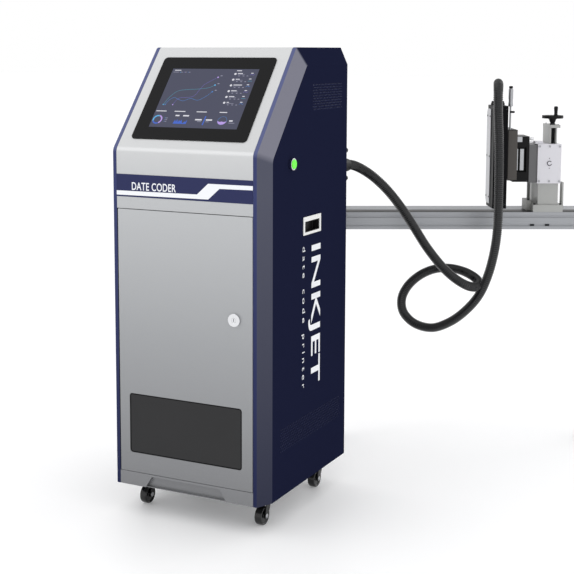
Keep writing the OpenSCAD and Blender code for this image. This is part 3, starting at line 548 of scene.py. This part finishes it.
# %% Drawn aluminium
rail_aluminium = Finish("rail_aluminium", metallic=0.75)
unturned = rail_aluminium.node("ShaderNodeMapping", {}, {
    "Vector": rail_aluminium.place, "Rotation": (0, 0, -RAIL_TURN)})[0]
lengthways = rail_aluminium.node("ShaderNodeMapping", {}, {
    "Vector": unturned, "Scale": (0.02, 1, 1)})[0]
draw_lines = rail_aluminium.noise(700.0, 2.0, lengthways)
slow = rail_aluminium.noise(4.0, 2.0)
rail_aluminium.set("Base Color", rail_aluminium.mix(draw_lines * 0.5 + slow * 0.5, tone("8c8e92"),
                                                     tone("adafb3")))
rail_aluminium.set("Roughness", draw_lines * 0.16 + 0.3)
rail_aluminium.relief(draw_lines, 0.00003)

# %% Lit finishes
def lit(name, code, power, main="101014"):
    made = surface(name, main, rough=0.25)
    made.set("Emission Color", tone(code))
    made.set("Emission Strength", power)
    return made


green_cap = lit("green_cap", "66dd38", 0.85, "3aa82a")
green_cap.set("Roughness", 0.22)
screen_glass = lit("screen_glass", "55576a", 0.8, "0c0c12")
screen_glass.set("Specular IOR Level", 0.1)
screen_inks = {code: lit("screen_" + code, code, 0.85) for code in (
    "e8e8f0", "9a9ab0", "3f7fc8", "6a5fb4", "4296b0", "2a5fd0", "55b8f0", "c0a0f0")}
print("screen colours:", list(screen_inks))

# %% [markdown]
# ## CAD pieces with real edges
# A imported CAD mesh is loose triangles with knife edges, and real sheet metal and mouldings catch
# the light on a small radius. Each node is copied, its triangles are merged into whole faces,
# and a narrow bevel rounds the edges that turn by more than 20 degrees.

# %% Copy a node and round its edges
EDGE_TURN = math.radians(20)


def merged(node):
    """A copy of a CAD node's mesh with its triangles joined into whole faces."""
    shape = bmesh.new()
    shape.from_mesh(nodes[node].data)
    bmesh.ops.remove_doubles(shape, verts=shape.verts, dist=2e-6)
    bmesh.ops.dissolve_limit(shape, angle_limit=math.radians(0.6), verts=shape.verts,
                             edges=shape.edges)
    return as_mesh(shape, node)


def rounded(mesh, width, segments=2, cutter=None):
    """The mesh with a cutter's holes, and with its sharp edges rounded."""
    obj = linked("rounding", mesh)
    if cutter:
        cut = obj.modifiers.new("holes", "BOOLEAN")
        cut.object, cut.operation, cut.solver = cutter, "DIFFERENCE", "EXACT"
    if width:
        bevel = obj.modifiers.new("edge", "BEVEL")
        bevel.width, bevel.segments = width, segments
        bevel.limit_method, bevel.angle_limit = "ANGLE", EDGE_TURN
        mesh.shade_smooth()
        weighted = obj.modifiers.new("flat faces stay flat", "WEIGHTED_NORMAL")
        weighted.mode, weighted.weight = "FACE_AREA", 90
    return flattened(obj)


def dress(node, finish, width=0.0006, segments=2, cutter=None):
    """A finished piece that stands for one CAD node."""
    mesh = rounded(merged(node), width, segments, cutter)
    return piece(node + "_finished", mesh, finish, nodes[node]["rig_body"], [node])


print("rounding edges over", round(math.degrees(EDGE_TURN)), "degrees")

# %% [markdown]
# ## Perforated side panels
# Each side panel has two fields of small staggered holes, one high for the warm air and one low
# for the cool air. Painted dots would not let light through, so the holes are cut. A Geometry
# Nodes tree lays a grid, shifts every other row by half a pitch, and puts a short rod on each
# point; the rods are then taken out of the panel.

# %% Rods on a staggered grid
staggered = Recipe("staggered_rods", columns="count", rows="count", pitch="value", rise="value",
                   radius="value", depth="value")
sockets = {"Size X": (staggered.start["columns"] - 1) * staggered.start["pitch"],
           "Size Y": (staggered.start["rows"] - 1) * staggered.start["rise"],
           "Vertices X": staggered.start["columns"], "Vertices Y": staggered.start["rows"]}
grid = staggered.node("GeometryNodeMeshGrid", {}, sockets)[0]
spot = staggered.node("GeometryNodeInputPosition")[0]
split = staggered.node("ShaderNodeSeparateXYZ", {}, {0: spot})
row_number = (split[1] / staggered.start["rise"]).to("ADD", 100.25).to("FLOOR")
shift = row_number.to("MODULO", 2.0) * staggered.start["pitch"] * 0.5
offset = staggered.node("ShaderNodeCombineXYZ", {}, {0: shift})[0]
moved = staggered.node("GeometryNodeSetPosition", {}, {"Geometry": grid, "Offset": offset})[0]
sockets = {"Vertices": 8, "Radius": staggered.start["radius"], "Depth": staggered.start["depth"]}
one_rod = staggered.node("GeometryNodeMeshCylinder", {}, sockets)["Mesh"]
sockets = {"Points": moved, "Instance": one_rod}
staggered.end(staggered.node("GeometryNodeInstanceOnPoints", {}, sockets)[0])

# %% Cut both panels
VENTS = [(314, 1119, 215, 74), (104, 133, 423, 71)]
PITCH, RISE, HOLE = 10.6, 8.0, 2.3


def vent_cutter(x):
    """Rods through the panel at x, for both of its vents, in one object."""
    shape = bmesh.new()
    for y, z, length, tall in VENTS:
        columns, rows = int((length - PITCH / 2) // PITCH) + 1, int(tall // RISE) + 1
        carrier = linked("vent", bpy.data.meshes.new("vent"))
        mesh = staggered.run(carrier, matte_black, columns=columns, rows=rows,
                             pitch=PITCH * MM, rise=RISE * MM, radius=HOLE * MM, depth=0.012)
        turn = Matrix.Rotation(math.pi / 2, 4, "Z") @ Matrix.Rotation(math.pi / 2, 4, "X")
        mesh.transform(Matrix.Translation(cab(x, y + length / 2 - PITCH / 4, z + tall / 2)) @ turn)
        shape.from_mesh(mesh)
    return linked("cutter", as_mesh(shape, "cutter"))


for node, x in (("side_panel_left", -260), ("side_panel_right", 260)):
    cutter = vent_cutter(x)
    print(node, "holes:", len(cutter.data.vertices) // 16)
    # The side panels take the navy paint with its painted sheen and painted shade.
    dress(node, navy_painted_sheen, 0.0008, 2, cutter)
    bpy.data.objects.remove(cutter)

# %% [markdown]
# ## The other CAD pieces
# A table says which finish each node gets and how wide its rounded edge is, in millimetres.
# Folded sheet has a small radius, mouldings a larger one, and machined parts a fine chamfer.

# %% Dress every other node
DRESS = [
    (silver_paint, 0.5, "front_fascia"),
    (silver_paint, 0.9, "door kick_panel"),
    (navy_paint, 0.5, "rear_panel top_cover"),
    (band_film, 0.1, "front_band"),
    (black_glass, 0.7, "screen_bezel"),
    (screen_glass, 0.0, "screen_panel"),
    (galvanised, 0.4, "base_tray frame_posts frame_bars shelves"),
    (aluminium, 0.6, "controller_box fluid_pump valve_block power_supply"),
    (window_black, 0.3, "door_window"),
    (chrome, 1.2, "door_lock button_barrel"),
    (chrome, 0.3, "lock_plug"),
    (green_cap, 2.2, "button_cap"),
    (port_white, 0.7, "data_port"),
    (black_plastic, 1.2, "rear_gland head_gland"),
    (black_plastic, 0.5, "rear_connectors rear_fan fan_rotor"),
    (red_plastic, 0.4, "mains_switch"),
    (tank_plastic, 4.0, "fluid_tanks"),
    (tube_plastic, 0.0, "fluid_tubes"),
    (board_green, 0.0, "control_board"),
    (galvanised, 0.3, "door_brackets"),
    (castor_black, 0.5, "castor_plates"),
    (castor_black, 0.5, "castor_fork_fl castor_fork_fr castor_fork_rl castor_fork_rr"),
    (rail_aluminium, 0.5, "rail rail_posts"),
    (black_plastic, 0.3, "rail_strip"),
    # The clamp and the column take the adjusters' paint darkened as painted shade.
    (adjuster_grey, 0.9, "rail_clamp guide_column"),
    (adjuster_white, 1.4, "carriage"),
    (adjuster_white, 0.8, "carriage_cover"),
    (slide_black, 1.0, "slide_base fine_slide"),
    (head_black, 2.0, "print_head"),
    (steel, 0.5, "head_side_plate"),
    (nozzle_metal, 0.3, "nozzle_plate"),
    (black_plastic, 1.0, "handwheel")]
for finish, width, names in DRESS:
    for node in names.split():
        dress(node, finish, width * MM, 3 if width > 1 else 2)
print("finished pieces:", len(made_faces), "faces:", sum(made_faces.values()))

# %% [markdown]
# ## Turned pieces
# Wheels, knobs and the lead screw are turned on a lathe or moulded round an axis. Each is a
# profile of radius and height that is spun round, with its own rounded corners in the profile.

# %% Spin a profile
def turned(name, profile, foot, up, finish, body, slot=None, instead_of=(), steps=48):
    """A closed shape: (radius, height) pairs in mm, spun round an axis from foot along up."""
    shape = bmesh.new()
    rings = []
    for radius, height in profile:
        if radius < 1e-6:
            rings.append([shape.verts.new((0, 0, height * MM))])
            continue
        rings.append([shape.verts.new((radius * MM * math.cos(math.tau * k / steps),
                                       radius * MM * math.sin(math.tau * k / steps),
                                       height * MM)) for k in range(steps)])
    for low_ring, high_ring in zip(rings, rings[1:]):
        for k in range(steps):
            n = (k + 1) % steps
            corners = [low_ring[k % len(low_ring)], low_ring[n % len(low_ring)],
                       high_ring[n % len(high_ring)], high_ring[k % len(high_ring)]]
            shape.faces.new(list(dict.fromkeys(corners)))
    bmesh.ops.recalc_face_normals(shape, faces=shape.faces)
    mesh = as_mesh(shape, name)
    turn = Vector((0, 0, 1)).rotation_difference(Vector(up)).to_matrix().to_4x4()
    mesh.transform(Matrix.Translation(foot) @ turn)
    return piece(name, mesh, finish, body, instead_of)


UP = (0, 0, 1)
BACK = (0, 1, 0)
RIGHT = (1, 0, 0)
ALONG = (rail(1000, 0, 0) - rail(0, 0, 0)).normalized()
ACROSS = (rail(0, 1000, 0) - rail(0, 0, 0)).normalized()

# %% Castor wheels, with a rounded tread and a dished hub
TREAD = [(4.1, -9.5), (8.5, -9.5), (9.5, -8.6), (10.5, -8.2), (20.5, -8.2), (22.0, -10.4),
         (24.0, -11.4), (26.3, -11.1), (27.5, -9.6), (28.0, -6.5), (28.0, 6.5), (27.5, 9.6),
         (26.3, 11.1), (24.0, 11.4), (22.0, 10.4), (20.5, 8.2), (10.5, 8.2), (9.5, 8.6),
         (8.5, 9.5), (4.1, 9.5), (4.1, -9.5)]
AXLE_CAP = [(0, 0), (6.2, 0), (6.8, 0.6), (6.8, 1.6), (5.6, 2.9), (3.2, 3.6), (0, 3.8)]
for corner in ("fl", "fr", "rl", "rr"):
    low_point, high_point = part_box("castor_wheel_" + corner)
    hub = (low_point + high_point) / 2
    turned("castor_tyre_" + corner, TREAD, hub, RIGHT, wheel_black, "wheel_" + corner,
           "wheel_black", ["castor_wheel_" + corner], 64)
    for side in (-1, 1):
        name = f"castor_axle_{corner}_{'left' if side < 0 else 'right'}"
        turned(name, AXLE_CAP, hub + Vector((side * 15.2 * MM, 0, 0)), (side, 0, 0), steel,
               "swivel_" + corner, "steel", (), 24)
print("wheel radius:", round(hub.z * 1000, 1), "mm")

# %% Grip, fine screw and lead screw
GRIP = [(0, 1.5), (5.6, 1.5), (6.9, 2.6), (6.9, 4.0), (5.9, 7.0), (5.6, 12.0), (6.3, 20.0),
        (6.9, 27.0), (6.7, 31.0), (5.2, 33.3), (2.5, 34.2), (0, 34.3)]
low_point, high_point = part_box("handwheel_grip")
grip_foot = (low_point + high_point) / 2
grip_foot.z = low_point.z - 2 * MM
turned("handwheel_grip_finished", GRIP, grip_foot, UP, black_plastic, "grip", "black_plastic",
       ["handwheel_grip"])


def foot_of(node, x, y):
    """The foot of a screw that stands at (x, y) in the rail's own frame."""
    foot = rail(x, y, 0)
    foot.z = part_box(node)[0].z
    return foot


fine_axis = foot_of("fine_screw", 1071, 708)
FINE = [(0, 0), (2.4, 0), (3.0, 0.8), (3.0, 229), (5.0, 229), (7.2, 230), (8.0, 232),
        (8.0, 240), (7.3, 244), (7.3, 252), (8.0, 256), (8.0, 284), (7.2, 289), (5.0, 291),
        (0, 291)]
turned("fine_screw_finished", FINE, fine_axis, UP, steel, "fine_screw", "steel", ["fine_screw"])
TOP_RING = [(0, 0), (6.0, 0), (6.6, 0.8), (6.6, 5.4), (5.4, 7.0), (0, 7.0)]
FINE_TOP = Vector((0, 0, FINE[-1][1] * MM))
turned("fine_screw_top", TOP_RING, fine_axis + FINE_TOP, UP, black_plastic,
       "fine_screw", "black_plastic")

low_point, high_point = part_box("lead_screw")
lead_axis = foot_of("lead_screw", 1234, 790)
thread = [(0, 0)]
THREAD_PITCH, THREADED = 2.5, 168
for step in range(int(THREADED / THREAD_PITCH)):
    at = step * THREAD_PITCH
    thread += [(4.2, at + 0.1), (5.0, at + 0.8), (5.0, at + 1.4), (4.2, at + 2.1)]
PLATE_TOP = 1131.3
at = PLATE_TOP - low_point.z * 1000
tall = (high_point.z - low_point.z) * 1000
thread += [(4.2, 171), (5.0, 171.5), (5.0, at), (8.6, at), (9.0, at + 0.4), (9.0, at + 4.6),
           (8.6, at + 5), (5.0, at + 5), (5.0, tall - 0.6), (4.4, tall), (0, tall)]
turned("lead_screw_finished", thread, lead_axis, UP, dark_steel, "spindle", "steel",
       ["lead_screw"], 32)
print("lead screw:", round(tall), "mm")

# %% [markdown]
# ## Screws
# One screw head is modelled once: a round head with a small chamfer and a hexagonal socket. A
# Geometry Nodes tree puts it on every marked point and turns it to face the way that point
# says, so a row of screws costs one line. The heads are few-sided because there are many.

# %% A socket screw head
def socket_head(radius, tall):
    """A screw head on the XY plane, facing +Z, with a hexagonal socket."""
    shape = bmesh.new()
    sides = 24
    rings = []
    for share, at in ((1.0, 0.0), (1.0, 0.75), (0.88, 1.0), (0.56, 1.0), (0.5, 0.94)):
        rings.append([(radius * share * math.cos(math.tau * k / sides),
                       radius * share * math.sin(math.tau * k / sides), tall * at)
                      for k in range(sides)])
    for depth in (0.94, 0.35):
        flat = []
        for k in range(sides):
            turn = math.tau * k / sides
            reach = radius * 0.46 * math.cos(math.pi / 6) / math.cos(
                (turn + math.pi / 6) % (math.pi / 3) - math.pi / 6)
            flat.append((reach * math.cos(turn), reach * math.sin(turn), tall * depth))
        rings.append(flat)
    made = [[shape.verts.new(p) for p in ring] for ring in rings]
    for first, second in zip(made, made[1:]):
        for k in range(sides):
            n = (k + 1) % sides
            shape.faces.new((first[k], first[n], second[n], second[k]))
    shape.faces.new(made[-1])
    shape.faces.new(made[0][::-1])
    return as_mesh(shape, "screw_head")


facing = Recipe("screws_on_points", head="thing")
way = facing.node("GeometryNodeInputNamedAttribute", {"data_type": "FLOAT_VECTOR"},
                  {"Name": "facing"})[0]
turn = facing.node("FunctionNodeAlignRotationToVector", {"axis": "Z"}, {"Vector": way})[0]
head = facing.node("GeometryNodeObjectInfo", {}, {"Object": facing.start["head"]})["Geometry"]
sockets = {"Points": facing.start["Geometry"], "Instance": head, "Rotation": turn}
facing.end(facing.node("GeometryNodeInstanceOnPoints", {}, sockets)[0])


def screws(name, spots, radius, tall, finish, body):
    """Screw heads at (point, direction) pairs, on one body."""
    points = bpy.data.meshes.new("spots")
    points.from_pydata([tuple(place) for place, way in spots], [], [])
    ways = points.attributes.new("facing", "FLOAT_VECTOR", "POINT")
    ways.data.foreach_set("vector", [v for place, way in spots for v in way])
    head = linked("screw_head", socket_head(radius * MM, tall * MM))
    mesh = facing.run(linked("spots", points), finish, head=head)
    bpy.data.objects.remove(head)
    return piece(name, mesh, finish, body)


TO_FRONT = tuple(-ACROSS)
TO_LEFT = tuple(-ALONG)

# %% Screws of the rail group
cover = [(rail(x, 755.2, z), TO_FRONT) for x in (1185, 1219.5, 1254) for z in (938, 1058)]
screws("cover_screws", cover, 3.5, 2.6, steel, "carriage")
pins = [(rail(1219.5, 757, 1000 + dz), TO_FRONT) for dz in (-17, 17)]
screws("cover_pins", pins, 1.5, 0.7, dark_steel, "carriage")
clamp = [(rail(x, y, 855), UP) for x in (1174.5, 1264.5) for y in (770, 930)]
screws("clamp_screws", clamp, 4.2, 4.0, dark_steel, "cabinet")
plate = [(rail(x, y, 1131), UP) for x, y in ((1251, 776), (1251, 868), (1230, 868))]
screws("top_plate_screws", plate, 2.8, 2.6, steel, "cabinet")
fine_plate = [(rail(1056, y, 1109), UP) for y in (704, 736)]
screws("fine_slide_screws", fine_plate, 2.2, 2.0, steel, "head")
head_face = [(rail(x, 635, z), TO_FRONT) for x in (1009, 1044) for z in (872, 1190)]
screws("head_screws", head_face, 2.2, 1.4, dark_steel, "head")
side_face = [(rail(1000, y, z), TO_LEFT) for y in (692, 738) for z in (892, 1030, 1165)]
screws("side_plate_screws", side_face, 2.6, 1.6, dark_steel, "head")

# %% Screws of the cabinet
corners = [(x, y) for x in (-198, 198) for y in (132, 500)]
plates = [(cab(x + dx, y + dy, 3), UP) for x, y in corners for dx in (-20, 20) for dy in (-20, 20)]
screws("castor_bolts", plates, 5.2, 4.0, steel, "cabinet")
rear = [(cab(x, 570, z), BACK) for x in (-236, 236) for z in (60, 420, 780, 1140)]
screws("rear_panel_screws", rear, 4.0, 2.2, steel, "cabinet")
fan = [(cab(x, 570, 1120 + z), BACK) for x in (-52.5, 52.5) for z in (-52.5, 52.5)]
screws("fan_screws", fan, 3.4, 2.0, steel, "cabinet")
feet = [(rail(x + dx, 850 + dy, 12), UP) for x in (470, 1415) for dx in (-28, 28)
        for dy in (-28, 28)]
screws("foot_bolts", feet, 6.5, 6.0, steel, "cabinet")
print("screw pieces:", [n for n in made_faces if "screw" in n or "bolt" in n])

# %% [markdown]
# ## Printed marks and the screen's picture
# The band's line, the lettering and the screen's picture are flat, so they are thin closed
# solids laid on their face. Each shape is a strip: a row of point pairs in millimetres. A place
# function puts a pair on the front, or on the sloping face, which leans back from the bend.

# %% Where marks go
BEND = 1008
LEAN = math.atan2(250, 1302 - BEND)
SCREEN_WIDE, SCREEN_TALL, SCREEN_LOW, SCREEN_FRONT = 291, 219, 82, 2.38


def slope(x, along, out):
    """A point of the sloping face: across, up the slope from the bend, out from the face."""
    back, up = math.sin(LEAN), math.cos(LEAN)
    return cab(x, along * back - out * up, BEND + along * up + out * back)


def on_screen(x, y, out):
    """A point of the picture: shares of its width and height, from its top left corner."""
    return slope((x - 0.5) * SCREEN_WIDE, SCREEN_LOW + (1 - y) * SCREEN_TALL, SCREEN_FRONT + out)


# %% Strips
def line(points, width, tall=1.0):
    """A line of an even width. Tall is how much longer a step of y is than a step of x."""
    pairs = []
    for k, (x, y) in enumerate(points):
        before, after = points[max(k - 1, 0)], points[min(k + 1, len(points) - 1)]
        run = Vector((after[0] - before[0], (after[1] - before[1]) * tall)).normalized()
        side = (-run.y * width / 2, run.x * width / 2 / tall)
        pairs.append(((x - side[0], y - side[1]), (x + side[0], y + side[1])))
    return pairs


def dot(x, y, radius, tall=1.0, steps=9):
    """A round dot."""
    turns = [math.pi * (k + 0.1) / (steps + 0.2) for k in range(steps + 1)]
    return [((x - radius * math.sin(t), y - radius / tall * math.cos(t)),
             (x + radius * math.sin(t), y - radius / tall * math.cos(t))) for t in turns]


def arc(x, y, inner, outer, start, end, tall=1.0, thin_ends=False):
    """A ring or a part of one, between two angles in degrees. Thin ends make a crescent."""
    pairs = []
    for k in range(25):
        turn = math.radians(start + (end - start) * k / 24)
        reach = outer - (outer - inner) * (math.sin(math.pi * (k + 0.4) / 24.8) if thin_ends else 1)
        pairs.append(tuple((x + r * math.cos(turn), y - r / tall * math.sin(turn))
                           for r in (reach, outer)))
    return pairs


def printed(name, strips, place, finish, body, thick=0.14):
    """Thin solids from strips, with their place given by a function of x, y and out."""
    shape = bmesh.new()
    for pairs in strips:
        rows = [[shape.verts.new(place(*spot, out)) for out in (0, thick) for spot in pair]
                for pair in pairs]
        for first, second in zip(rows, rows[1:]):
            for i, j in ((0, 1), (1, 3), (3, 2), (2, 0)):
                shape.faces.new((first[i], first[j], second[j], second[i]))
        for row in (rows[0], rows[-1]):
            shape.faces.new((row[0], row[1], row[3], row[2]))
    bmesh.ops.recalc_face_normals(shape, faces=shape.faces)
    return piece(name, as_mesh(shape, name), finish, body)


# %% The band's line
BAND_FACE, DOOR_FACE = -0.78, 0.78


def on_band(x, z, out):
    return cab(x, BAND_FACE - out, z)


STEP = [((-224.7, 874.5), (-224.7, 887)), ((46.3, 875.8), (46.3, 888.5)),
        ((82.7, 876), (46.4, 888.6)), ((119.2, 908), (82.6, 920.7)), ((224.7, 909), (224.7, 921))]
printed("band_line", [STEP], on_band, white_film, "cabinet")


def on_door(x, z, out):
    return cab(x, DOOR_FACE - out, z)


WIDE, TALL, LOW, CORNER = 187.5, 89.3, 192.5, 8.0
rim = []
for turn, side_x, side_z in ((0, 1, 1), (90, -1, 1), (180, -1, -1), (270, 1, -1)):
    for k in range(7):
        angle = math.radians(turn + k * 15)
        middle = (side_x * (WIDE - CORNER), LOW + side_z * (TALL - CORNER))
        rim.append(tuple((middle[0] + r * math.cos(angle), middle[1] + r * math.sin(angle))
                         for r in (CORNER - 2.4, CORNER)))
printed("window_rim", [[*rim, rim[0]]], on_door, matte_black, "door")

# %% The ring on the carriage's cover
COVER_FACE = 753.95


def on_cover(x, z, out):
    return rail(x, COVER_FACE - out, z)


printed("cover_ring", [arc(1219.5, 1000, 6.2, 8.6, 20, 320)], on_cover, dark_steel, "carriage",
        0.4)

# %% The screen's picture
SHARE = SCREEN_TALL / SCREEN_WIDE


def curve_through(points, width):
    smooth = smooth_line([Vector(p) for p in points], 6)
    return line([tuple(p) for p in smooth], width, SHARE)


def dash(x, y, long, thick=0.009):
    return line([(x, y), (x + long, y)], thick, SHARE)


TEAL = [(0.061, 0.62), (0.107, 0.475), (0.173, 0.385), (0.274, 0.36), (0.417, 0.345),
        (0.516, 0.32), (0.568, 0.277)]
WAVE = [(0.083, 0.62), (0.11, 0.543), (0.152, 0.5), (0.214, 0.53), (0.274, 0.553),
        (0.346, 0.51), (0.396, 0.525), (0.438, 0.538), (0.495, 0.495), (0.567, 0.39)]
VIOLET = [(0.172, 0.62), (0.194, 0.543), (0.229, 0.5), (0.303, 0.495), (0.367, 0.475),
          (0.397, 0.418), (0.417, 0.345), (0.447, 0.265), (0.495, 0.215), (0.567, 0.143)]
inks = {code: [] for code in screen_inks}
for code, end_code, points in (("4296b0", "55b8f0", TEAL), ("3f7fc8", "3f7fc8", WAVE),
                               ("6a5fb4", "c0a0f0", VIOLET)):
    inks[code].append(curve_through(points, 0.0035))
    inks[end_code] += [dot(*points[0], 0.007, SHARE), dot(*points[-1], 0.009, SHARE)]
    inks["9a9ab0"].append(dash(points[-1][0] + 0.022, points[-1][1] - 0.025, 0.022))
inks["e8e8f0"] += [dash(0.03, 0.028, 0.075), dash(0.755, 0.028, 0.055)]
inks["9a9ab0"] += [dash(0.02, 0.06, 0.065, 0.006)]
for x, code in ((0.105, "55b8f0"), (0.15, "6a5fb4"), (0.195, "3f7fc8")):
    inks[code].append(dot(x, 0.06, 0.004, SHARE))
    inks["9a9ab0"].append(dash(x + 0.008, 0.06, 0.018, 0.006))
for row in range(6):
    y = 0.083 + row * 0.0975
    long = (0.055, 0.045, 0.095, 0.06, 0.06, 0.025)[row]
    inks["e8e8f0"] += [dot(0.75, y, 0.013, SHARE), dash(0.777, y - 0.008, long),
                       dash(0.925, y - 0.014, 0.026)]
    inks["9a9ab0"] += [dash(x, y + 0.033, 0.018, 0.007) for x in (0.79, 0.84, 0.885)]
    inks["9a9ab0"].append(dash(0.777, y + 0.009, 0.08, 0.004))
    trend = [(0.92 + 0.012 * k, y + 0.022 - 0.012 * ((k * (row + 2)) % 3)) for k in range(5)]
    inks[("6a5fb4", "4296b0", "3f7fc8")[row % 3]].append(line(trend, 0.004, SHARE))
for x, long in ((0.0, 0.12), (0.215, 0.125), (0.47, 0.115), (0.73, 0.085)):
    inks["e8e8f0"].append(dash(x + 0.012, 0.73, long, 0.01))
for start, end, code in ((-60, 75, "c0a0f0"), (80, 200, "55b8f0"), (205, 295, "2a5fd0")):
    inks[code].append(arc(0.066, 0.872, 0.04, 0.055, start, end, SHARE))
for k, code in enumerate(("55b8f0", "6a5fb4", "3f7fc8")):
    inks[code].append(dot(0.15, 0.845 + 0.028 * k, 0.004, SHARE))
    inks["9a9ab0"].append(dash(0.158, 0.845 + 0.028 * k, 0.022, 0.006))
inks["e8e8f0"] += [dash(0.258, 0.8, 0.045, 0.016), dash(0.345, 0.8, 0.068, 0.016),
                   dash(0.5, 0.86, 0.075, 0.016), dash(0.622, 0.86, 0.07, 0.016),
                   dash(0.885, 0.865, 0.038, 0.016)]
inks["9a9ab0"] += [dash(0.53, 0.89, 0.045, 0.006), dash(0.622, 0.89, 0.04, 0.006),
                   dash(0.885, 0.9, 0.065, 0.006)]
peaks = [0.0, 0.055, 0.02, 0.065, 0.012, 0.05, 0.028, 0.06, 0.01, 0.0, 0.03, 0.022, 0.062]
inks["2a5fd0"].append([((0.262 + 0.0125 * k, 0.935), (0.262 + 0.0125 * k, 0.925 - high))
                       for k, high in enumerate(peaks)])
inks["2a5fd0"].append(line([(0.606, 0.8), (0.603, 0.945)], 0.012, SHARE))
inks["3f7fc8"].append(arc(0.806, 0.862, 0.047, 0.05, -178, 178, SHARE))
inks["c0a0f0"].append(arc(0.806, 0.862, 0.012, 0.052, -175, -5, SHARE, True))
for code, strips in inks.items():
    printed("screen_ink_" + code, strips, on_screen, screen_inks[code], "cabinet")
print("strips on the screen:", sum(len(strips) for strips in inks.values()))

# %% [markdown]
# Lettering is a text curve with a little depth. It is made a mesh, measured, and stretched into
# the space it has on the panel, so the words fill their place whatever the font's own widths.

# %% Generic lettering
def lettering(name, words, corner, right, up, wide, tall, spacing=1.0, heavier=0.0):
    """Words from a corner, running right, as wide and tall as given in mm."""
    curve = bpy.data.curves.new(name, "FONT")
    curve.body, curve.extrude, curve.offset = words, 0.0005, heavier
    curve.space_character = spacing
    mesh = flattened(linked(name, curve))
    low = [min(v.co[i] for v in mesh.vertices) for i in range(3)]
    span = [max(v.co[i] for v in mesh.vertices) - low[i] for i in range(3)]
    out = Vector(right).cross(Vector(up))
    for vert in mesh.vertices:
        x, y, z = [(vert.co[i] - low[i]) / span[i] for i in range(3)]
        vert.co = (corner + Vector(right) * x * wide * MM + Vector(up) * y * tall * MM
                   + out * z * 0.25 * MM)
    return piece(name, mesh, white_film, "cabinet")


WORDS_FACE, SIDE_FACE, DOWN = BAND_FACE + 0.06, 259.9, (0, 0, -1)
BOLDER = 0.012
lettering("band_words", "DATE CODER", cab(-172, WORDS_FACE, 890.5), RIGHT, UP, 149, 23, 1.05,
          BOLDER)
lettering("side_words", "INKJET", cab(SIDE_FACE, 291, 715), DOWN, BACK, 427, 84, 1.0, BOLDER)
lettering("side_line", "date code printer", cab(SIDE_FACE, 243, 718), DOWN, BACK, 427, 24, 1.6)

# %% [markdown]
# ## Small parts of the head's holder
# The CAD keeps the big bodies. The thin plates and bars that are seen on them are added here as
# rounded blocks, each on the body that it is screwed to, so it moves with it.

# %% Blocks
grey_plate = surface("grey_plate", "6a6a6c", "5f5f61", rough=0.42, metal=0.3, grain=1800.0)
flange_grey = surface("flange_grey", "8c8c8a", "82827f", rough=0.45, metal=0.1)
brown_grey = surface("brown_grey", "4a4642", "3f3b38", rough=0.5, grain=1500.0)


def block(name, frame_of, low, size, finish, body, edge=0.5):
    """A block with rounded edges, from its low corner and its size in mm."""
    shape = bmesh.new()
    bmesh.ops.create_cube(shape, size=1.0)
    for vert in shape.verts:
        vert.co = frame_of(*[a + (share + 0.5) * b for a, share, b in zip(low, vert.co, size)])
    mesh = as_mesh(shape, name)
    return piece(name, rounded(mesh, edge * MM), finish, body)


BLOCKS = [
    ("arm_plate", rail, (1150.3, 762, 932), (28.4, 46, 132), grey_plate, "carriage"),
    ("carriage_tab", rail, (1171, 764, 1066.2), (27, 34, 9), adjuster_white, "carriage"),
    ("fine_base_cover", rail, (1062.6, 688.6, 949), (31, 1.2, 168), brown_grey, "carriage"),
    ("slide_bar_thin", rail, (1108, 762.5, 975), (4, 5, 74), aluminium, "carriage"),
    ("slide_bar_wide", rail, (1119, 762.5, 975), (13, 5, 74), aluminium, "carriage"),
    ("slide_saddle", rail, (1108, 758.6, 1073), (17, 1.6, 18), aluminium, "carriage"),
    ("fine_screw_lever", rail, (1069, 705, 1175), (16, 6, 7), black_plastic, "fine_screw"),
    ("clamp_flange", rail, (1169, 863, 855.2), (9.4, 9, 71), flange_grey, "cabinet"),
    ("flange_foot", rail, (1152, 790, 831.8), (15.6, 78, 36), flange_grey, "cabinet"),
    ("slot_nut_left", rail, (1160, 759.4, 781.7), (14, 4, 6.6), dark_steel, "cabinet"),
    ("slot_nut_right", rail, (1212, 759.4, 781.7), (14, 4, 6.6), dark_steel, "cabinet"),
    ("vent_filter", cab, (252.5, 108, 130), (4, 190, 78), filter_mat, "cabinet")]
for name, frame_of, low, size, finish, body in BLOCKS:
    block(name, frame_of, low, size, finish, body)
KNOB = [(0, 0), (3.4, 0), (3.4, 4), (5.2, 4.6), (5.2, 13), (4.4, 14.5), (0, 14.5)]
turned("cross_slide_knob", KNOB, rail(1150.2, 766, 1084), tuple(ALONG), chrome, "carriage",
       "steel", (), 24)
turned("flange_screw", [(0, 0), (4.5, 0), (4.5, 4), (3.6, 5.5), (0, 5.5)], rail(1159, 797, 867.8),
       UP, dark_steel, "cabinet", "steel", (), 24)
print("blocks:", len(BLOCKS), "finished pieces:", len(made_faces))

# %% [markdown]
# ## Sizes
# The finished model must stay the size that the CAD has, so its growth over the CAD's box is
# printed.

# %% Compare the two boxes
low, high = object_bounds()
growth = (high - low) - (cad_high - cad_low)
print("grown by, in mm:", [round(v * 1000, 1) for v in growth])
